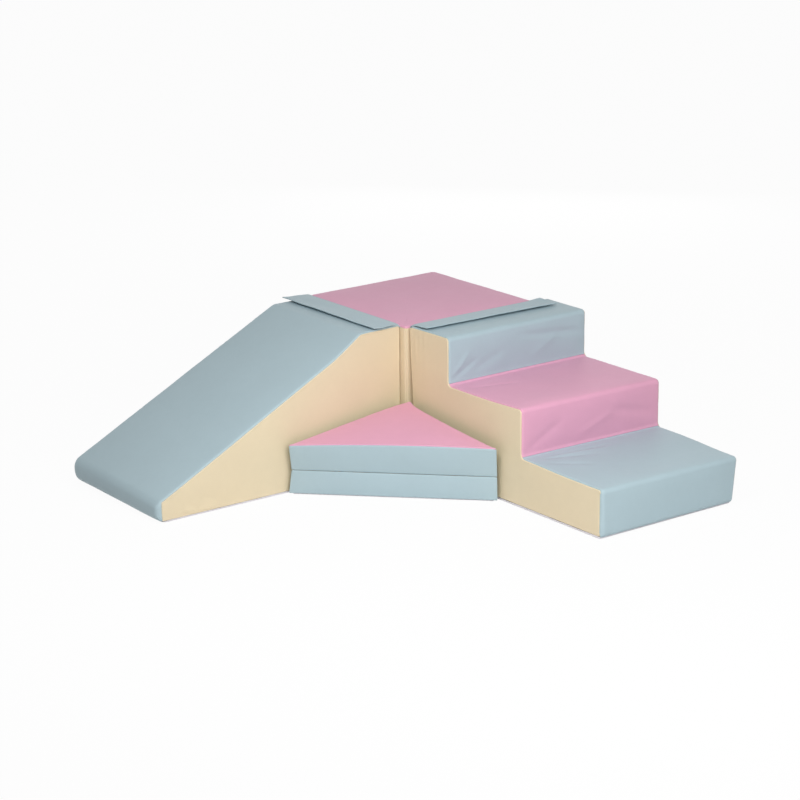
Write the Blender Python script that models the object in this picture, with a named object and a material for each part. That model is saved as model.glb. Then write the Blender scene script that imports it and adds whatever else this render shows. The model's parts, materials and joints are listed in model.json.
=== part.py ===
"""A soft play slide: a slide and three steps of covered foam meet at a corner block, with a mat between.

Metres, +Z up. The origin is the centre of the corner block's base. The slide runs out towards -X and the
steps towards -Y. The slide and the steps are made in frames of their own: +X runs out from the block, +Y
across, and +Z up.
"""

import math

import bmesh
import bpy
import numpy as np

# Corner block
HEIGHT = 0.45
BLOCK_WIDTH = 0.51
BLOCK_DEPTH = 0.51

# Slide
SLIDE_LENGTH = 0.905
SLIDE_WIDTH = 0.47
LANDING_LENGTH = 0.155
KNEE_RADIUS = 0.035
NOSE_HEIGHT = 0.078
NOSE_RADIUS = 0.035
SLIDE_GAP = 0.005
SLIDE_SETBACK = 0.013

# Steps
STEPS_WIDTH = 0.545
TOP_RUN = 0.186
MIDDLE_RUN = 0.346
BOTTOM_RUN = 0.353
BOTTOM_RISE = 0.15
MIDDLE_RISE = 0.15
TREAD_EDGE_RADIUS = 0.014
BRIDGE_RADIUS = 0.020
STEPS_GAP = 0.006
STEPS_SETBACK = 0.016

# Folding mat
MAT_LEG = 0.44
PAD_THICKNESS = 0.077
MAT_GAP = 0.004
FOLD_SETBACK = 0.001
REST_GAPE = math.radians(9.5)
APEX_CUT = 0.012
OUTER_CROWN = 0.008
FRONT_BOW = 0.007
INNER_CROWN = 0.009
BAND_BULGE = 0.0015
FOLD_LEAF_WIDTH = 0.015
FOLD_LEAF_THICKNESS = 0.0008

# Covers: leatherette on its wadding, and the cloth of the bases
COVER = 0.003
BASE = 0.003
BASE_INSET = 0.002
EDGE_RADIUS = 0.008
SEAM_BEVEL = 0.0022
TOP_CROWN = 0.005
TREAD_CROWN = 0.003
SLOPE_CROWN = 0.005
FOOT_TUCK = 0.006
FOOT_HEIGHT = 0.014
FOOT_RADIUS = 0.016

# Flaps and their hook and loop tapes
SLIDE_FLAP_REACH = 0.110
SLIDE_FLAP_LENGTH = 0.492
SLIDE_FLAP_INSET = 0.003
STEPS_FLAP_REACH = 0.092
STEPS_FLAP_LENGTH = 0.505
STEPS_FLAP_OVERHANG = 0.013
FLAP_TAPER = 0.004
FLAP_THICKNESS = 0.004
FLAP_LIFT = 0.004
FLAP_AXIS_RISE = 0.002
FLAP_AXIS_GAP = 0.001
TAPE_WIDTH = 0.025
TAPE_EDGE = 0.024
TAPE_END = 0.03
HOOK_TAPE = 0.0015
LOOP_TAPE = 0.001

# Zips
ZIP_WIDTH = 0.026
ZIP_TAPE = 0.001
ZIP_RECESS = 0.0018
ZIP_RIDGE_WIDTH = 0.005
ZIP_RIDGE_HEIGHT = 0.0016
ZIP_END = 0.05
NOSE_ZIP_END = 0.14
STEPS_ZIP_END = 0.385
SLIDER_LENGTH = 0.012
SLIDER_WIDTH = 0.011
SLIDER_PLATE = 0.0012
SLIDER_BRIDGE = 0.0015
SLIDER_BRIDGE_WIDTH = 0.003
SLIDER_PARK = 0.008

# Gap between pieces that touch
FIT = 0.0003

# How finely the curves are divided
ARC_STEP = math.radians(23)
CROWN_STEP = 0.13

SKIN = COVER + FIT
FOOT = BASE + FIT
STEPS_LENGTH = TOP_RUN + MIDDLE_RUN + BOTTOM_RUN
SECOND_TREAD = BOTTOM_RISE + MIDDLE_RISE


# The scene and its materials

for old in list(bpy.data.objects):
    bpy.data.objects.remove(old, do_unlink=True)

# Each finish: linear base colour, roughness and metallic
FINISHES = {
    "leatherette_blue": ((0.42, 0.53, 0.58), 0.50, 0.0),
    "leatherette_pink": ((0.73, 0.38, 0.50), 0.50, 0.0),
    "leatherette_cream": ((0.80, 0.68, 0.48), 0.50, 0.0),
    "base_cloth": ((0.74, 0.71, 0.75), 0.85, 0.0),
    "foam": ((0.83, 0.80, 0.70), 0.95, 0.0),
    "hook_tape": ((0.30, 0.37, 0.42), 0.90, 0.0),
    "loop_tape": ((0.36, 0.45, 0.50), 0.95, 0.0),
    "zip_tape": ((0.70, 0.66, 0.58), 0.80, 0.0),
    "zip_slider": ((0.62, 0.62, 0.63), 0.30, 1.0),
}


def make_material(name):
    colour, roughness, metallic = FINISHES[name]
    material = bpy.data.materials.new(name)
    material.use_nodes = True
    shader = material.node_tree.nodes["Principled BSDF"]
    shader.inputs["Base Color"].default_value = (*colour, 1.0)
    shader.inputs["Roughness"].default_value = roughness
    shader.inputs["Metallic"].default_value = metallic
    return material


MATERIALS = {name: make_material(name) for name in FINISHES}


# Helpers that make frames and solids


def frame_at(name, location, turn=0.0, tilt=0.0, parent=None):
    """An empty turned about Z and then tilted about its own X."""
    empty = bpy.data.objects.new(name, None)
    bpy.context.scene.collection.objects.link(empty)
    empty.location = location
    empty.rotation_mode = "ZXY"
    empty.rotation_euler = (tilt, 0.0, turn)
    empty.parent = parent
    return empty


def finish(name, shape, finish_name, parent):
    """Turns a bmesh into an object with its normals facing out."""
    bmesh.ops.recalc_face_normals(shape, faces=shape.faces)
    mesh = bpy.data.meshes.new(name)
    shape.to_mesh(mesh)
    shape.free()
    mesh.shade_smooth()
    mesh.set_sharp_from_angle(angle=math.radians(35))
    mesh.materials.append(MATERIALS[finish_name])
    piece = bpy.data.objects.new(name, mesh)
    bpy.context.scene.collection.objects.link(piece)
    piece.parent = parent
    return piece


def prism(name, outline, axis, low, high, finish_name, parent, bevel=0.0):
    """Extrudes an outline along an axis from low to high. A bevel rounds the edges of the high end.

    The outline is in the two other axes, in the order X, Y, Z.
    """
    shape = bmesh.new()
    corners = [shape.verts.new(np.insert(point, axis, high)) for point in outline]
    outer = shape.faces.new(corners)
    made = bmesh.ops.extrude_face_region(shape, geom=[outer], use_keep_orig=True)
    shift = [0.0, 0.0, 0.0]
    shift[axis] = low - high
    moved = [item for item in made["geom"] if isinstance(item, bmesh.types.BMVert)]
    bmesh.ops.translate(shape, verts=moved, vec=shift)
    if bevel:
        bmesh.ops.bevel(
            shape, geom=list(outer.edges), offset=bevel, segments=2, profile=0.5, affect="EDGES"
        )
    return finish(name, shape, finish_name, parent)


def slab(name, upper, lower, finish_name, parent):
    """Joins two grids of points, each rows x columns x 3, into one closed solid."""
    rows, columns = upper.shape[:2]
    shape = bmesh.new()
    grids = [
        [[shape.verts.new(point) for point in row] for row in grid] for grid in (upper, lower)
    ]
    for grid in grids:
        for i in range(rows - 1):
            for j in range(columns - 1):
                shape.faces.new((grid[i][j], grid[i][j + 1], grid[i + 1][j + 1], grid[i + 1][j]))
    border = [(0, j) for j in range(columns - 1)]
    border += [(i, columns - 1) for i in range(rows - 1)]
    border += [(rows - 1, j) for j in range(columns - 1, 0, -1)]
    border += [(i, 0) for i in range(rows - 1, 0, -1)]
    for (i, j), (k, m) in zip(border, border[1:] + border[:1]):
        shape.faces.new((grids[0][i][j], grids[0][k][m], grids[1][k][m], grids[1][i][j]))
    return finish(name, shape, finish_name, parent)


def side_outline(low, high, top):
    """A rectangle on the foot line whose last two points run back along it."""
    return [(low, top), (high, top), (high, FOOT), (low, FOOT)]


def rectangle(low, high):
    return [(low[0], low[1]), (high[0], low[1]), (high[0], high[1]), (low[0], high[1])]


def edge_drop(distance):
    """How far the cover has curved away from its face, at a distance in from the face beside it."""
    reach = np.clip(EDGE_RADIUS - distance, 0.0, EDGE_RADIUS)
    return EDGE_RADIUS - np.sqrt(EDGE_RADIUS**2 - reach**2)


SIDE_DROP = float(edge_drop(COVER))


def stations(low, high):
    """Places across a crowned face: close together where its edges curve away, and even between."""
    near = np.array([SKIN, 2.0 * SKIN, EDGE_RADIUS + FIT])
    inner_low = low + near[-1]
    inner_high = high - near[-1]
    count = max(2, 2 * math.ceil((inner_high - inner_low) / (2.0 * CROWN_STEP)))
    middle = np.linspace(inner_low, inner_high, count + 1)
    return np.concatenate([low + near[:-1], middle, high - near[-2::-1]])


class Profile:
    """A module's outline from the side: rows of points (out, up) with normals that face out of it."""

    def __init__(self, corners):
        """corners holds (out, up, radius). The ends have radius 0. Each arc has a row at its middle."""
        self.points = []
        self.normals = []
        self.humps = []
        self.arc_middles = []
        places = np.array([corner[:2] for corner in corners])
        legs = np.diff(places, axis=0)
        tangents = legs / np.linalg.norm(legs, axis=1)[:, None]
        start = places[0]
        for k in range(1, len(places) - 1):
            before = tangents[k - 1]
            after = tangents[k]
            turn = math.atan2(before[0] * after[1] - before[1] * after[0], before @ after)
            radius = corners[k][2]
            reach = radius * math.tan(abs(turn) / 2.0)
            self.add_straight(start, places[k] - before * reach, before)
            side = math.copysign(radius, turn)
            centre = places[k] - before * reach + side * self.left_of(before)
            pieces = 2 * max(1, math.ceil(abs(turn) / (2.0 * ARC_STEP)))
            self.arc_middles.append(len(self.points) + pieces // 2)
            for step in range(pieces + 1):
                angle = turn * step / pieces
                cos, sin = math.cos(angle), math.sin(angle)
                tangent = before * cos + self.left_of(before) * sin
                self.add(centre - side * self.left_of(tangent), tangent, 0.0)
            start = places[k] + after * reach
        self.add_straight(start, places[-1], tangents[-1])
        self.add(places[-1], tangents[-1], 0.0)
        self.points = np.array(self.points)
        self.normals = np.array(self.normals)
        self.humps = np.array(self.humps)

    @staticmethod
    def left_of(direction):
        return np.array([-direction[1], direction[0]])

    def add(self, point, tangent, hump):
        self.points.append(point)
        self.normals.append(self.left_of(tangent))
        self.humps.append(hump)

    def add_straight(self, start, end, tangent):
        """Rows between two arcs, where the cover may crown. The first profile point is added here too."""
        length = np.linalg.norm(end - start)
        if not self.points:
            for distance in (0.0, SKIN, EDGE_RADIUS - COVER):
                self.add(start + tangent * distance, tangent, 0.0)
        count = math.ceil(length / CROWN_STEP)
        for step in range(1, count):
            share = step / count
            self.add(start + (end - start) * share, tangent, 4.0 * share * (1.0 - share))

    def inset(self, depth):
        return self.points - self.normals * depth

    def outline(self, depth, rear, foot):
        """The closed outline a depth in from the profile, down to a foot and back to a rear place."""
        points = self.inset(depth)
        points = points[(points[:, 0] > rear) & (points[:, 1] > foot)]
        top = [(rear, points[0, 1])]
        return top + [tuple(point) for point in points] + [(points[-1, 0], foot), (rear, foot)]


def ribbon(name, profile, first, last, width, crown, finish_name, parent, flat_rows=0):
    """A cover panel that follows the profile from one row to another, between the two side panels.

    Its outer face crowns along each straight stretch after the flat rows, and curves away at its edges.
    """
    rows = slice(first, last + 1)
    points = profile.points[rows].copy()
    normals = profile.normals[rows]
    tangents = np.stack([normals[:, 1], -normals[:, 0]], axis=1)
    if first > 0:
        points[0] += tangents[0] * FIT / 2.0
    if last < len(profile.points) - 1:
        points[-1] -= tangents[-1] * FIT / 2.0
    humps = profile.humps[rows].copy()
    humps[:flat_rows] = 0.0
    across = stations(-width / 2.0, width / 2.0)
    share = across / (width / 2.0)
    rise = crown * humps[:, None] * (1.0 - share**4)[None, :]
    side_drop = edge_drop(width / 2.0 - np.abs(across))
    rear_drop = edge_drop(points[:, 0]) if first == 0 else np.zeros(len(points))
    rise -= np.maximum(side_drop[None, :], rear_drop[:, None])

    def grid(offset):
        shifted = points[:, None, :] + normals[:, None, :] * offset[:, :, None]
        sideways = np.broadcast_to(across[None, :], offset.shape)
        return np.stack([shifted[:, :, 0], sideways, shifted[:, :, 1]], axis=2)

    return slab(name, grid(rise), grid(np.full_like(rise, -COVER)), finish_name, parent)


def with_zip_notch(outline, start, end):
    """Cuts the zip's place into the foot of an outline whose last two points run back along its foot."""
    foot = outline[-1][1]
    top = foot + ZIP_WIDTH + 2.0 * FIT
    notch = [(end, foot), (end, top), (start, top), (start, foot)]
    return outline[:-1] + notch + outline[-1:]


def side_panel(name, outline, width, side, parent):
    """A cream side, flat, with its outer edge rounded. side is -1 or +1 across the module."""
    inner = side * (width / 2.0 - COVER)
    outer = side * width / 2.0
    prism(name, outline, 1, inner, outer, "leatherette_cream", parent, bevel=SEAM_BEVEL)


def zip_fastener(name, length, location, turn, parent):
    """A zip tape with its ridge of teeth, and a slider. It runs along +X of its frame and faces +Y."""
    place = frame_at(name + "_zip_line", location, turn=turn, parent=parent)
    face = -ZIP_RECESS
    middle = FIT + ZIP_WIDTH / 2.0
    ridge = ZIP_RIDGE_WIDTH / 2.0
    crest = face + ZIP_RIDGE_HEIGHT
    section = [
        (face - ZIP_TAPE, FIT),
        (face, FIT),
        (face, middle - ridge),
        (crest, middle - ridge),
        (crest, middle + ridge),
        (face, middle + ridge),
        (face, FIT + ZIP_WIDTH),
        (face - ZIP_TAPE, FIT + ZIP_WIDTH),
    ]
    prism(name + "_zip_tape", section, 0, FIT, length - FIT, "zip_tape", place)
    hollow = ridge + FIT
    half = SLIDER_WIDTH / 2.0
    top = crest + FIT + SLIDER_PLATE
    bridge = SLIDER_BRIDGE_WIDTH / 2.0
    section = [
        (face + FIT, middle - half),
        (top, middle - half),
        (top, middle - bridge),
        (top + SLIDER_BRIDGE, middle - bridge),
        (top + SLIDER_BRIDGE, middle + bridge),
        (top, middle + bridge),
        (top, middle + half),
        (face + FIT, middle + half),
        (face + FIT, middle + hollow),
        (crest + FIT, middle + hollow),
        (crest + FIT, middle - hollow),
        (face + FIT, middle - hollow),
    ]
    start = SLIDER_PARK
    prism(name + "_zip_slider", section, 0, start, start + SLIDER_LENGTH, "zip_slider", place)


# Corner block

block = frame_at("block_frame", (0.0, 0.0, 0.0))


def build_block():
    """A foam cube in a cover of a pink top and four cream sides. The zip is in the back side."""
    half_x, half_y = BLOCK_WIDTH / 2.0, BLOCK_DEPTH / 2.0
    inner = np.array([half_x - SKIN, half_y - SKIN])
    prism("block_core", rectangle(-inner, inner), 2, FOOT, HEIGHT - SKIN, "foam", block)
    base = np.array([half_x - BASE_INSET, half_y - BASE_INSET])
    prism("block_base", rectangle(-base, base), 2, 0.0, BASE, "base_cloth", block)

    x, y = np.meshgrid(stations(-half_x, half_x), stations(-half_y, half_y), indexing="ij")
    crown = TOP_CROWN * (1.0 - (x / half_x) ** 2) * (1.0 - (y / half_y) ** 2)
    drop = np.maximum(edge_drop(half_x - np.abs(x)), edge_drop(half_y - np.abs(y)))
    top = np.stack([x, y, HEIGHT + crown - drop], axis=2)
    under = np.stack([x, y, np.full_like(x, HEIGHT - COVER)], axis=2)
    slab("block_top", top, under, "leatherette_pink", block)

    side_top = HEIGHT - SIDE_DROP
    wide = side_outline(-half_y, half_y, side_top)
    for name, side in (("block_slide_side", -1), ("block_end_side", 1)):
        low = side * (half_x - COVER)
        prism(name, wide, 0, low, side * half_x, "leatherette_cream", block, bevel=SEAM_BEVEL)
    narrow = side_outline(-half_x + SKIN, half_x - SKIN, side_top)
    side_panel("block_steps_side", narrow, BLOCK_DEPTH, -1, block)
    zipped = with_zip_notch(narrow, -half_x + ZIP_END, half_x - ZIP_END)
    side_panel("block_back_side", zipped, BLOCK_DEPTH, 1, block)
    zip_start = (-half_x + ZIP_END, half_y, FOOT)
    zip_fastener("block", BLOCK_WIDTH - 2.0 * ZIP_END, zip_start, 0.0, block)


# Slide and steps


def build_module(name, frame, profile, width, outer_side, zip_span, panels):
    """The parts that the slide and the steps share: top panels, sides, back, base cloth and zip.

    panels holds (name, first row, last row, crown, finish, flat rows) along the profile.
    """
    for panel, first, last, crown, finish_name, flat_rows in panels:
        ribbon(panel, profile, first, last, width, crown, finish_name, frame, flat_rows)
    outline = profile.outline(SIDE_DROP, 0.0, FOOT)
    side_panel(name + "_inner_side", outline, width, -outer_side, frame)
    zipped = with_zip_notch(outline, *zip_span)
    side_panel(name + "_outer_side", zipped, width, outer_side, frame)

    half = width / 2.0 - SKIN
    back = rectangle((-half, FOOT), (half, HEIGHT - SIDE_DROP))
    prism(name + "_back", back, 0, COVER, 0.0, "leatherette_cream", frame)
    base_half = width / 2.0 - BASE_INSET
    front = profile.points[-1, 0] - BASE_INSET
    base = rectangle((BASE_INSET, -base_half), (front, base_half))
    prism(name + "_base", base, 2, 0.0, BASE, "base_cloth", frame)

    length = zip_span[1] - zip_span[0]
    if outer_side > 0:
        zip_fastener(name, length, (zip_span[0], width / 2.0, FOOT), 0.0, frame)
    else:
        zip_fastener(name, length, (zip_span[1], -width / 2.0, FOOT), math.pi, frame)


def foot_corners(length):
    """The last corners of a profile, where the cover tucks in under the front."""
    return [(length, FOOT_HEIGHT, FOOT_RADIUS), (length - FOOT_TUCK, FOOT, 0.0)]


def foam_prism(name, corners, foot, width, frame):
    """A foam piece a cover's thickness inside the outline that the corners give."""
    outline = Profile(corners).outline(SKIN, SKIN, foot)
    half = width / 2.0 - SKIN
    prism(name, outline, 1, -half, half, "foam", frame)


slide_middle = -BLOCK_DEPTH / 2.0 + SLIDE_SETBACK + SLIDE_WIDTH / 2.0
slide = frame_at("slide_frame", (-BLOCK_WIDTH / 2.0 - SLIDE_GAP, slide_middle, 0.0), turn=math.pi)


def build_slide():
    """One foam wedge. Its blue cover runs over the knee, down the slope and round the nose."""
    corners = [
        (LANDING_LENGTH, HEIGHT, KNEE_RADIUS),
        (SLIDE_LENGTH, NOSE_HEIGHT, NOSE_RADIUS),
        *foot_corners(SLIDE_LENGTH),
    ]
    profile = Profile([(SKIN, HEIGHT, 0.0), *corners])
    last = len(profile.points) - 1
    panels = [("slide_top", 0, last, SLOPE_CROWN, "leatherette_blue", profile.arc_middles[0])]
    zip_span = (ZIP_END, SLIDE_LENGTH - NOSE_ZIP_END)
    build_module("slide", slide, profile, SLIDE_WIDTH, -1, zip_span, panels)
    foam_prism("slide_core", [(0.0, HEIGHT, 0.0), *corners], FOOT, SLIDE_WIDTH, slide)


steps_middle = -BLOCK_WIDTH / 2.0 + STEPS_SETBACK + STEPS_WIDTH / 2.0
steps_back_place = -BLOCK_DEPTH / 2.0 - STEPS_GAP
steps = frame_at("steps_frame", (steps_middle, steps_back_place, 0.0), turn=-math.pi / 2.0)


def build_steps():
    """Three foam slabs in a stack. The cover bridges the two inner corners, and changes colour there."""
    first_front = TOP_RUN
    second_front = TOP_RUN + MIDDLE_RUN
    corners = [
        (first_front, HEIGHT, TREAD_EDGE_RADIUS),
        (first_front, SECOND_TREAD, BRIDGE_RADIUS),
        (second_front, SECOND_TREAD, TREAD_EDGE_RADIUS),
        (second_front, BOTTOM_RISE, BRIDGE_RADIUS),
        (STEPS_LENGTH, BOTTOM_RISE, TREAD_EDGE_RADIUS),
        *foot_corners(STEPS_LENGTH),
    ]
    profile = Profile([(SKIN, HEIGHT, 0.0), *corners])
    last = len(profile.points) - 1
    upper_seam, lower_seam = profile.arc_middles[1], profile.arc_middles[3]
    panels = [
        ("steps_top_cover", 0, upper_seam, TREAD_CROWN, "leatherette_blue", profile.arc_middles[0]),
        ("steps_middle_cover", upper_seam, lower_seam, TREAD_CROWN, "leatherette_pink", 0),
        ("steps_bottom_cover", lower_seam, last, TREAD_CROWN, "leatherette_blue", 0),
    ]
    zip_span = (ZIP_END, STEPS_LENGTH - STEPS_ZIP_END)
    build_module("steps", steps, profile, STEPS_WIDTH, 1, zip_span, panels)

    joint = FIT - SKIN
    bottom = [(0.0, BOTTOM_RISE, 0.0), *corners[4:]]
    foam_prism("steps_bottom_core", bottom, FOOT, STEPS_WIDTH, steps)
    middle = [(0.0, SECOND_TREAD, 0.0), corners[2], (second_front, 0.0, 0.0)]
    foam_prism("steps_middle_core", middle, BOTTOM_RISE + joint, STEPS_WIDTH, steps)
    top = [(0.0, HEIGHT, 0.0), corners[0], (first_front, 0.0, 0.0)]
    foam_prism("steps_top_core", top, SECOND_TREAD + joint, STEPS_WIDTH, steps)


# Flaps that lie over the slide and the steps, sewn to the block's top edges

FLAP_UNDERSIDE = LOOP_TAPE + HOOK_TAPE + 3.0 * FIT


def build_flap(name, run, turn, sign, far_end, reach, length, module):
    """A flap with its hook tape, and the loop tape that it grips.

    run is the way along the block's edge from its front corner, and far_end is where the flap stops on it.
    sign is +1 where run is the module's own +Y, and -1 where it is the other way. module holds its frame,
    setback, width and gap to the block.
    """
    frame, setback, width, gap = module
    low, high = far_end - length, far_end
    centre = (low + high) / 2.0
    corner = np.array([-BLOCK_WIDTH / 2.0, -BLOCK_DEPTH / 2.0])
    axis_height = HEIGHT + FLAP_UNDERSIDE + FLAP_AXIS_RISE
    axis = frame_at(name + "_axis", (*(corner + centre * np.array(run)), axis_height), turn=turn)

    curl_start = reach - TAPE_EDGE
    flat_rows = np.linspace(FLAP_AXIS_GAP, curl_start, 3)
    out = np.concatenate([flat_rows, np.linspace(curl_start, reach, 4)[1:]])
    lift = FLAP_LIFT * (np.clip(out - curl_start, 0.0, None) / TAPE_EDGE) ** 2
    half = length / 2.0 - FLAP_TAPER * out / reach
    along = half[:, None] * np.linspace(-1.0, 1.0, 5)[None, :]
    under = np.stack(np.broadcast_arrays(out[:, None], along, lift[:, None] - FLAP_AXIS_RISE), axis=2)
    slab(name, under + (0.0, 0.0, FLAP_THICKNESS), under, "leatherette_blue", axis)

    tape_low = max(low, setback) + TAPE_END
    tape_high = min(high, setback + width) - TAPE_END
    near, far = curl_start - TAPE_WIDTH, curl_start
    ends = sorted((sign * (tape_low - centre), sign * (tape_high - centre)))
    hook = rectangle((near, ends[0]), (far, ends[1]))
    hook_top = -FLAP_AXIS_RISE - FIT
    prism(name + "_hook_tape", hook, 2, hook_top - HOOK_TAPE, hook_top, "hook_tape", axis)
    middle = setback + width / 2.0
    ends = sorted((sign * (tape_low - middle), sign * (tape_high - middle)))
    loop = rectangle((near - gap, ends[0]), (far - gap, ends[1]))
    prism(name + "_loop_tape", loop, 2, HEIGHT + FIT, HEIGHT + FIT + LOOP_TAPE, "loop_tape", frame)


def build_flaps():
    build_flap(
        "slide_flap",
        (0.0, 1.0),
        math.pi,
        -1,
        BLOCK_DEPTH - SLIDE_FLAP_INSET,
        SLIDE_FLAP_REACH,
        SLIDE_FLAP_LENGTH,
        (slide, SLIDE_SETBACK, SLIDE_WIDTH, SLIDE_GAP),
    )
    build_flap(
        "steps_flap",
        (1.0, 0.0),
        -math.pi / 2.0,
        1,
        BLOCK_WIDTH + STEPS_FLAP_OVERHANG,
        STEPS_FLAP_REACH,
        STEPS_FLAP_LENGTH,
        (steps, STEPS_SETBACK, STEPS_WIDTH, STEPS_GAP),
    )


# Folding mat: two triangular pads that meet along the fold, which runs along +X of the mat's frame

MAT_DEPTH = MAT_LEG / math.sqrt(2.0)
fold_middle = [-side / 2.0 - MAT_GAP - MAT_LEG / 2.0 for side in (BLOCK_WIDTH, BLOCK_DEPTH)]
mat = frame_at("mat_frame", (*fold_middle, PAD_THICKNESS), turn=-math.pi / 4.0)
mat_fold = frame_at("mat_fold_axis", (0.0, 0.0, 0.0), tilt=REST_GAPE, parent=mat)


def triangle(inset, front, cut):
    """The pad's plan, inset from its two legs, from a front place back to an apex cut off square."""
    apex = MAT_DEPTH - inset * math.sqrt(2.0)
    back = apex - cut
    return [(front - apex, front), (apex - front, front), (apex - back, back), (back - apex, back)]


def pad_face(name, side, front, surface, thickness, crown, finish_name, parent):
    """A crowned face of a pad, at a distance from the fold plane.

    crown(across, depth) is its swell away from the core, over -1 to 1 across and 0 to 1 from fold to apex.
    """
    left, right, back_right, back_left = (np.array(point) for point in triangle(SKIN, front, APEX_CUT))
    u = np.linspace(0.0, 1.0, 9)
    v = np.linspace(0.0, 1.0, 7)
    across = 2.0 * u[None, :] - 1.0
    x = (right[0] + (back_right[0] - right[0]) * v[:, None]) * across
    y = np.broadcast_to((front + (back_left[1] - front) * v)[:, None], x.shape)
    outward = math.copysign(1.0, thickness)
    outer = surface + outward * crown(across, v[:, None])
    inner = np.full_like(x, surface - thickness)
    grids = [np.stack([x, y, side * height], axis=2) for height in (outer, inner)]
    slab(name, grids[0], grids[1], finish_name, parent)


def pad_band(name, side, ends, mitres, low, high, bow, finish_name, parent):
    """A strip round a pad's edge, from one plan point to another, that faces to the right of its run.

    Each mitre is how far the end draws in along the strip for each metre of depth.
    """
    start, end = (np.array(point) for point in ends)
    length = np.linalg.norm(end - start)
    run = (end - start) / length
    outward = np.array([run[1], -run[0]])
    share = np.linspace(0.0, 1.0, 7)
    arch = 4.0 * share * (1.0 - share)
    corner = SEAM_BEVEL / (high - low)
    level = np.array([0.0, corner, 0.25, 0.5, 0.75, 1.0 - corner, 1.0])
    tuck = np.where((level == 0.0) | (level == 1.0), SEAM_BEVEL, 0.0)
    height = low + level[:, None] * (high - low + bow * arch[None, :])
    swell = 4.0 * BAND_BULGE * (level * (1.0 - level))[:, None] * arch[None, :] - tuck[:, None]

    def grid(offset):
        inset = -offset[:, :1]
        first = 2.0 * FIT + inset * mitres[0]
        last = length - 2.0 * FIT - inset * mitres[1]
        along = first + (last - first) * share[None, :]
        plan = start + run * along[:, :, None] + outward * offset[:, :, None]
        return np.concatenate([plan, side * height[:, :, None]], axis=2)

    outer = grid(swell)
    inner = grid(np.full_like(swell, -COVER))
    slab(name, outer, inner, finish_name, parent)


def build_pad(name, side, parent):
    """One pad. side is +1 for the upper pad, which rises from the fold plane, and -1 for the lower."""
    upper = side > 0
    surface = FIT
    leaf = FIT + FOLD_LEAF_THICKNESS
    outer = PAD_THICKNESS
    foam_top = outer - (SKIN if upper else FOOT)
    span = sorted((side * (surface + SKIN), side * foam_top))
    prism(name + "_core", triangle(SKIN, SKIN + FOLD_SETBACK, APEX_CUT), 2, *span, "foam", parent)

    fold_edge = FOLD_SETBACK + FOLD_LEAF_WIDTH
    half = MAT_DEPTH - fold_edge * math.sqrt(2.0)
    strip = rectangle((-half, FOLD_SETBACK), (half, fold_edge))
    prism(name + "_fold_leaf", strip, 2, *sorted((side * surface, side * leaf)), "base_cloth", parent)

    def inner_swell(across, depth):
        return INNER_CROWN * 16.0 * depth**2 * (1.0 - depth) ** 2 * (1.0 - across**2)

    def outer_swell(across, depth):
        return (1.0 - across**2) * (FRONT_BOW * (1.0 - depth) + OUTER_CROWN * 4.0 * depth * (1.0 - depth))

    front = fold_edge + FIT
    pad_face(name + "_inner_face", side, front, surface, -COVER, inner_swell, "leatherette_cream", parent)
    if upper:
        front = SKIN + FOLD_SETBACK
        pad_face(name + "_top", side, front, outer, COVER, outer_swell, "leatherette_pink", parent)
        band_top, bow = outer - SIDE_DROP, FRONT_BOW
    else:
        base = triangle(BASE_INSET, BASE_INSET + FOLD_SETBACK, APEX_CUT)
        prism(name + "_base", base, 2, -outer, BASE - outer, "base_cloth", parent)
        band_top, bow = outer - FOOT, 0.0

    half = MAT_DEPTH - FOLD_SETBACK
    left, right, apex = (-half, FOLD_SETBACK), (half, FOLD_SETBACK), (0.0, MAT_DEPTH)
    acute = 1.0 / math.tan(math.pi / 8.0)
    low = leaf + FIT
    zip_top = surface + ZIP_WIDTH + 2.0 * FIT
    bands = [
        ("_front_band", (left, right), (acute, acute), low, bow),
        ("_steps_band", (right, apex), (acute, 1.0), zip_top, 0.0),
        ("_slide_band", (apex, left), (1.0, acute), low, 0.0),
    ]
    for band, ends, mitres, bottom, band_bow in bands:
        finish_name = "leatherette_blue"
        pad_band(name + band, side, ends, mitres, bottom, band_top, band_bow, finish_name, parent)

    length = MAT_LEG - 2.0 * ZIP_END
    from_apex = ZIP_END / math.sqrt(2.0)
    height = surface - FIT if upper else -zip_top
    zip_fastener(name, length, (from_apex, MAT_DEPTH - from_apex, height), -math.pi / 4.0, parent)


build_block()
build_slide()
build_steps()
build_flaps()
build_pad("mat_lower", -1, mat)
build_pad("mat_upper", 1, mat_fold)
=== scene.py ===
# %% [markdown]
# # Dressing a soft play slide
#
# The object is a foam play corner for toddlers: a corner block, a slide, a flight of three steps and a
# folding mat. Every module is a block of firm foam in a sewn cover of coated cloth. The CAD model gives each
# panel as a plain solid, and this file gives it the soft edges, seams, puckers and folds of the real thing.
#
# The imported model is loaded first. It fixes the size and the place of everything.

# %% The imported model
import json
import math

import bpy
import numpy as np
from mathutils import Matrix, Vector


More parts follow.
